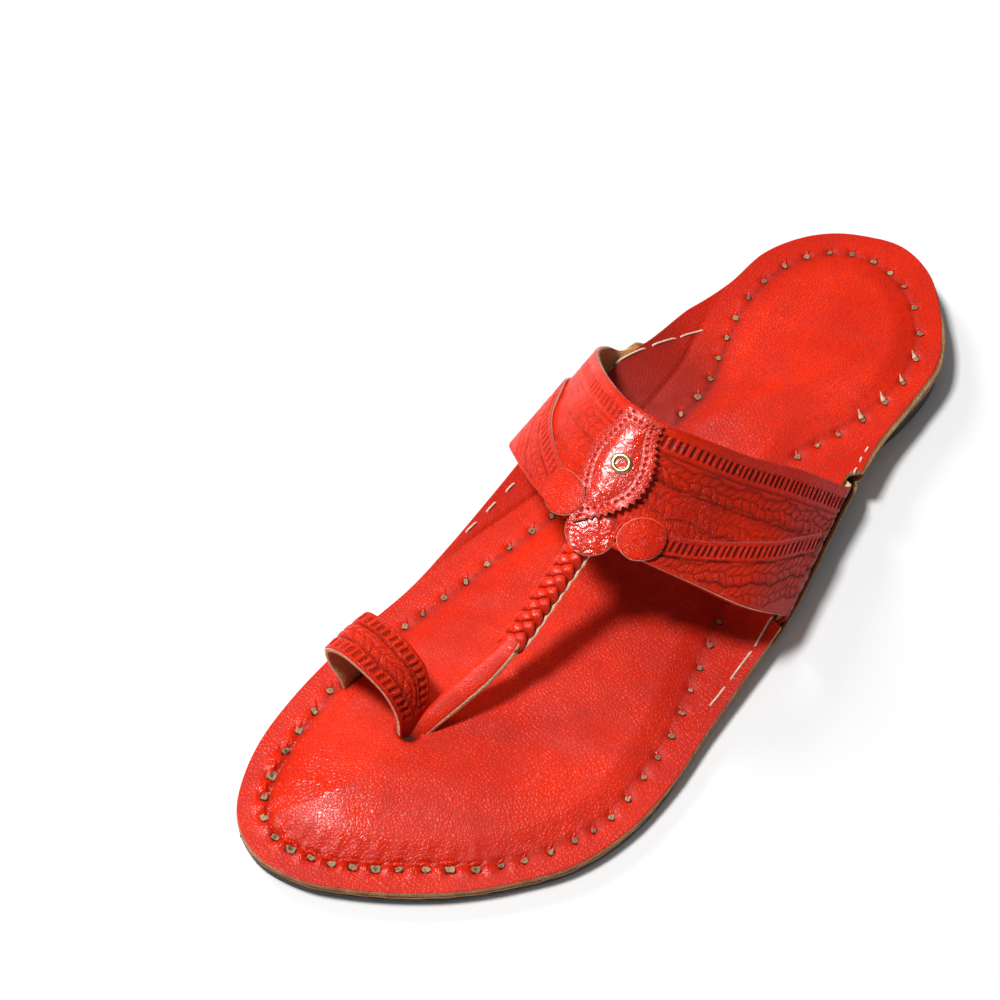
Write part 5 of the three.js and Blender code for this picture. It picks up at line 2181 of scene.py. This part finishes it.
@dataclass
class ToeLoop(Part):
    """The stamped loop over the big toe."""

    thick: float = 1.6
    press: float = 0.42
    rows: int = 250
    columns: int = 66
    sections: tuple[tuple[Triple, Triple], ...] = (
        ((-11, -80, 3.4), (-12, -85, 3.4)), ((-11.4, -79, 6.8), (-12.4, -84.5, 6.8)),
        ((-12, -74, 11.3), (-13.6, -83.5, 13.3)), ((-15.5, -69.8, 17.5), (-18, -83, 19.8)),
        ((-22, -68.5, 21.5), (-25.5, -83, 23.3)), ((-30, -68.2, 23), (-33, -83, 23.8)),
        ((-37, -68, 21.3), (-38.6, -83, 19.9)), ((-38.6, -68, 15.3), (-38, -83, 13.3)),
        ((-35.5, -67.8, 8.3), (-34.4, -82.8, 7.5)), ((-34.6, -67.8, 3.4), (-33.6, -82.8, 3.4)),
    )

    def make(self) -> Piece:
        """Builds the loop with its stamping and raw edges.

        Returns:
            The toe loop.
        """
        rear, front = (catmull(edge, np.linspace(0, 1, 400)) for edge in zip(*self.sections))
        run = lengths((rear + front) / 2)
        goal = np.linspace(0, run[-1], self.rows)
        rear, front = read_along(rear, run, goal), read_along(front, run, goal)
        share = np.linspace(0, 1, self.columns)
        mid = rear[:, None, :] + (front - rear)[:, None, :] * share[None, :, None]
        width = np.linalg.norm(front - rear, axis=1)[:, None]
        normal = unit(np.cross(np.gradient(mid, axis=0), np.gradient(mid, axis=1)))
        hump = 0.5 * (1 - (2 * share - 1) ** 2)
        v = share[None, :] * width
        a = goal[:, None] + 0 * v
        deep = Stamps.ladder(a, v, 1.2, 3.7, 2.1) + Stamps.ladder(a + 0.8, width - v, 1.2, 3.7, 2.1)
        deep += 0.7 * Stamps.line(v, 4.6) + 0.7 * Stamps.line(width - v, 4.6)
        wheat = Stamps.leaves(a, v - width / 2 + 8, 8.0, 2.9, 3.0, 1.1)
        deep = (deep + 0.95 * wheat) * smooth(6, 13, width)
        relief = self.press * deep
        edge = np.minimum(v, width - v)
        bevel = rounded(edge, 0.45, 0.3)
        half = self.thick / 2
        top = mid + normal * (half + relief - bevel + hump[None, :])[..., None]
        low = (mid + normal * (-half + hump[None, :])[..., None])[:, ::-5]
        loop = np.concatenate([top, low], axis=1)
        kinds = np.full(loop.shape[1], 2)
        kinds[: self.columns - 1] = 0
        kinds[self.columns - 1] = 1
        kinds[-1] = 1
        tone = blank(loop)
        # Painted shade in the pressed lines.
        tone[:, : self.columns, 0] = np.clip(-relief / self.press * 0.55, 0, 0.6)
        tone[:, : self.columns, 1] = 0.4 * (1 - smooth(0.3, 2.0, edge))
        tone[:, : self.columns, 2] = 0.7
        draft = Draft("toe_loop")
        draft.grid(loop, kinds, tone, round_columns=True, capped=True)
        return draft.build([self.finishes.band, self.finishes.pale, self.finishes.flesh], Slot.RED)


@dataclass(frozen=True)
class SoftBox:
    """A square area light that looks at the sandal."""

    name: str
    place: Triple
    size: float
    power: float
    mirrored: bool

    def hang(self) -> None:
        """Adds the light. Glossy things reflect it where it is mirrored."""
        data = bpy.data.lights.new(self.name, "AREA")
        data.shape = "RECTANGLE"
        data.size = data.size_y = self.size
        data.energy = self.power
        light = bpy.data.objects.new(self.name, data)
        light.location = self.place
        light.visible_glossy = self.mirrored
        light.rotation_euler = (-Vector(self.place)).to_track_quat("-Z", "Y").to_euler()
        bpy.context.scene.collection.objects.link(light)


@dataclass
class Studio:
    """Pale floor, soft lights and the camera at the photograph's angle."""

    place: Triple = (0.21147, -0.30282, 0.58042)
    azimuth: float = 40.986
    elevation: float = 56.0
    lens: float = 90.0
    sensor: float = 36.0
    floor_size: float = 8.0
    sky: float = 0.08
    lights: tuple[SoftBox, ...] = (
        SoftBox("key_light", (-0.45, -0.25, 1.24), 0.26, 19.0, True),
        SoftBox("side_light", (-1.15, 0.20, 0.75), 0.4, 8.5, False),
        SoftBox("ceiling_fill", (0.0, 0.0, 1.8), 3.0, 6.5, False),
    )

    def make(self) -> None:
        """Builds the floor, the lights, the sky and the camera."""
        self._floor()
        self._sky()
        for light in self.lights:
            light.hang()
        self._camera()
        view = bpy.context.scene.view_settings
        view.view_transform = "Standard"
        view.look = "None"

    def _floor(self) -> None:
        """A wide pale floor with a faint grain."""
        bpy.ops.mesh.primitive_plane_add(size=self.floor_size, location=(0, 0, 0))
        floor = bpy.context.object
        floor.name = "floor"
        material, w, shader = new_material("pale_floor")
        noise = w.add("ShaderNodeTexNoise", Scale=6.0, Detail=2.0)
        w.join(shader, "Base Color", w.mix(noise.outputs[0], (0.80,) * 3, (0.82,) * 3))
        shader.inputs["Roughness"].default_value = 0.8
        shader.inputs["Specular IOR Level"].default_value = 0.1
        floor.data.materials.append(material)

    def _sky(self) -> None:
        """Even white light from all round."""
        world = bpy.data.worlds.new("studio_sky")
        world.use_nodes = True
        background = world.node_tree.nodes["Background"]
        background.inputs["Color"].default_value = (0.96, 0.98, 1.0, 1)
        background.inputs["Strength"].default_value = self.sky
        bpy.context.scene.world = world

    def _camera(self) -> None:
        """The camera."""
        data = bpy.data.cameras.new("camera")
        data.sensor_width = self.sensor
        data.lens = self.lens
        camera = bpy.data.objects.new("camera", data)
        camera.location = self.place
        camera.rotation_euler = Euler((math.radians(90 - self.elevation), 0, math.radians(self.azimuth)))
        bpy.context.scene.collection.objects.link(camera)
        bpy.context.scene.camera = camera


def main() -> None:
    """Builds the studio and every piece of the sandal."""
    logging.basicConfig(level=logging.INFO, format="%(name)s: %(message)s")
    Studio().make()
    finishes = Finishes()
    plan = SolePlan()
    insole = Insole(finishes, plan, LaceLine())
    LowerSole(finishes, plan).make()
    insole.make()
    Lacing(finishes, insole).make()
    EarStitching(finishes, insole).make()
    EarLayers(finishes, plan).make()
    shape = BandShape(plan)
    for kind in (Band, FrontStrips, Discs, Leaf, Eyelet):
        kind(finishes, shape).make()
    Thong(finishes).make()
    ToeLoop(finishes).make()


if __name__ == "__main__":
    main()
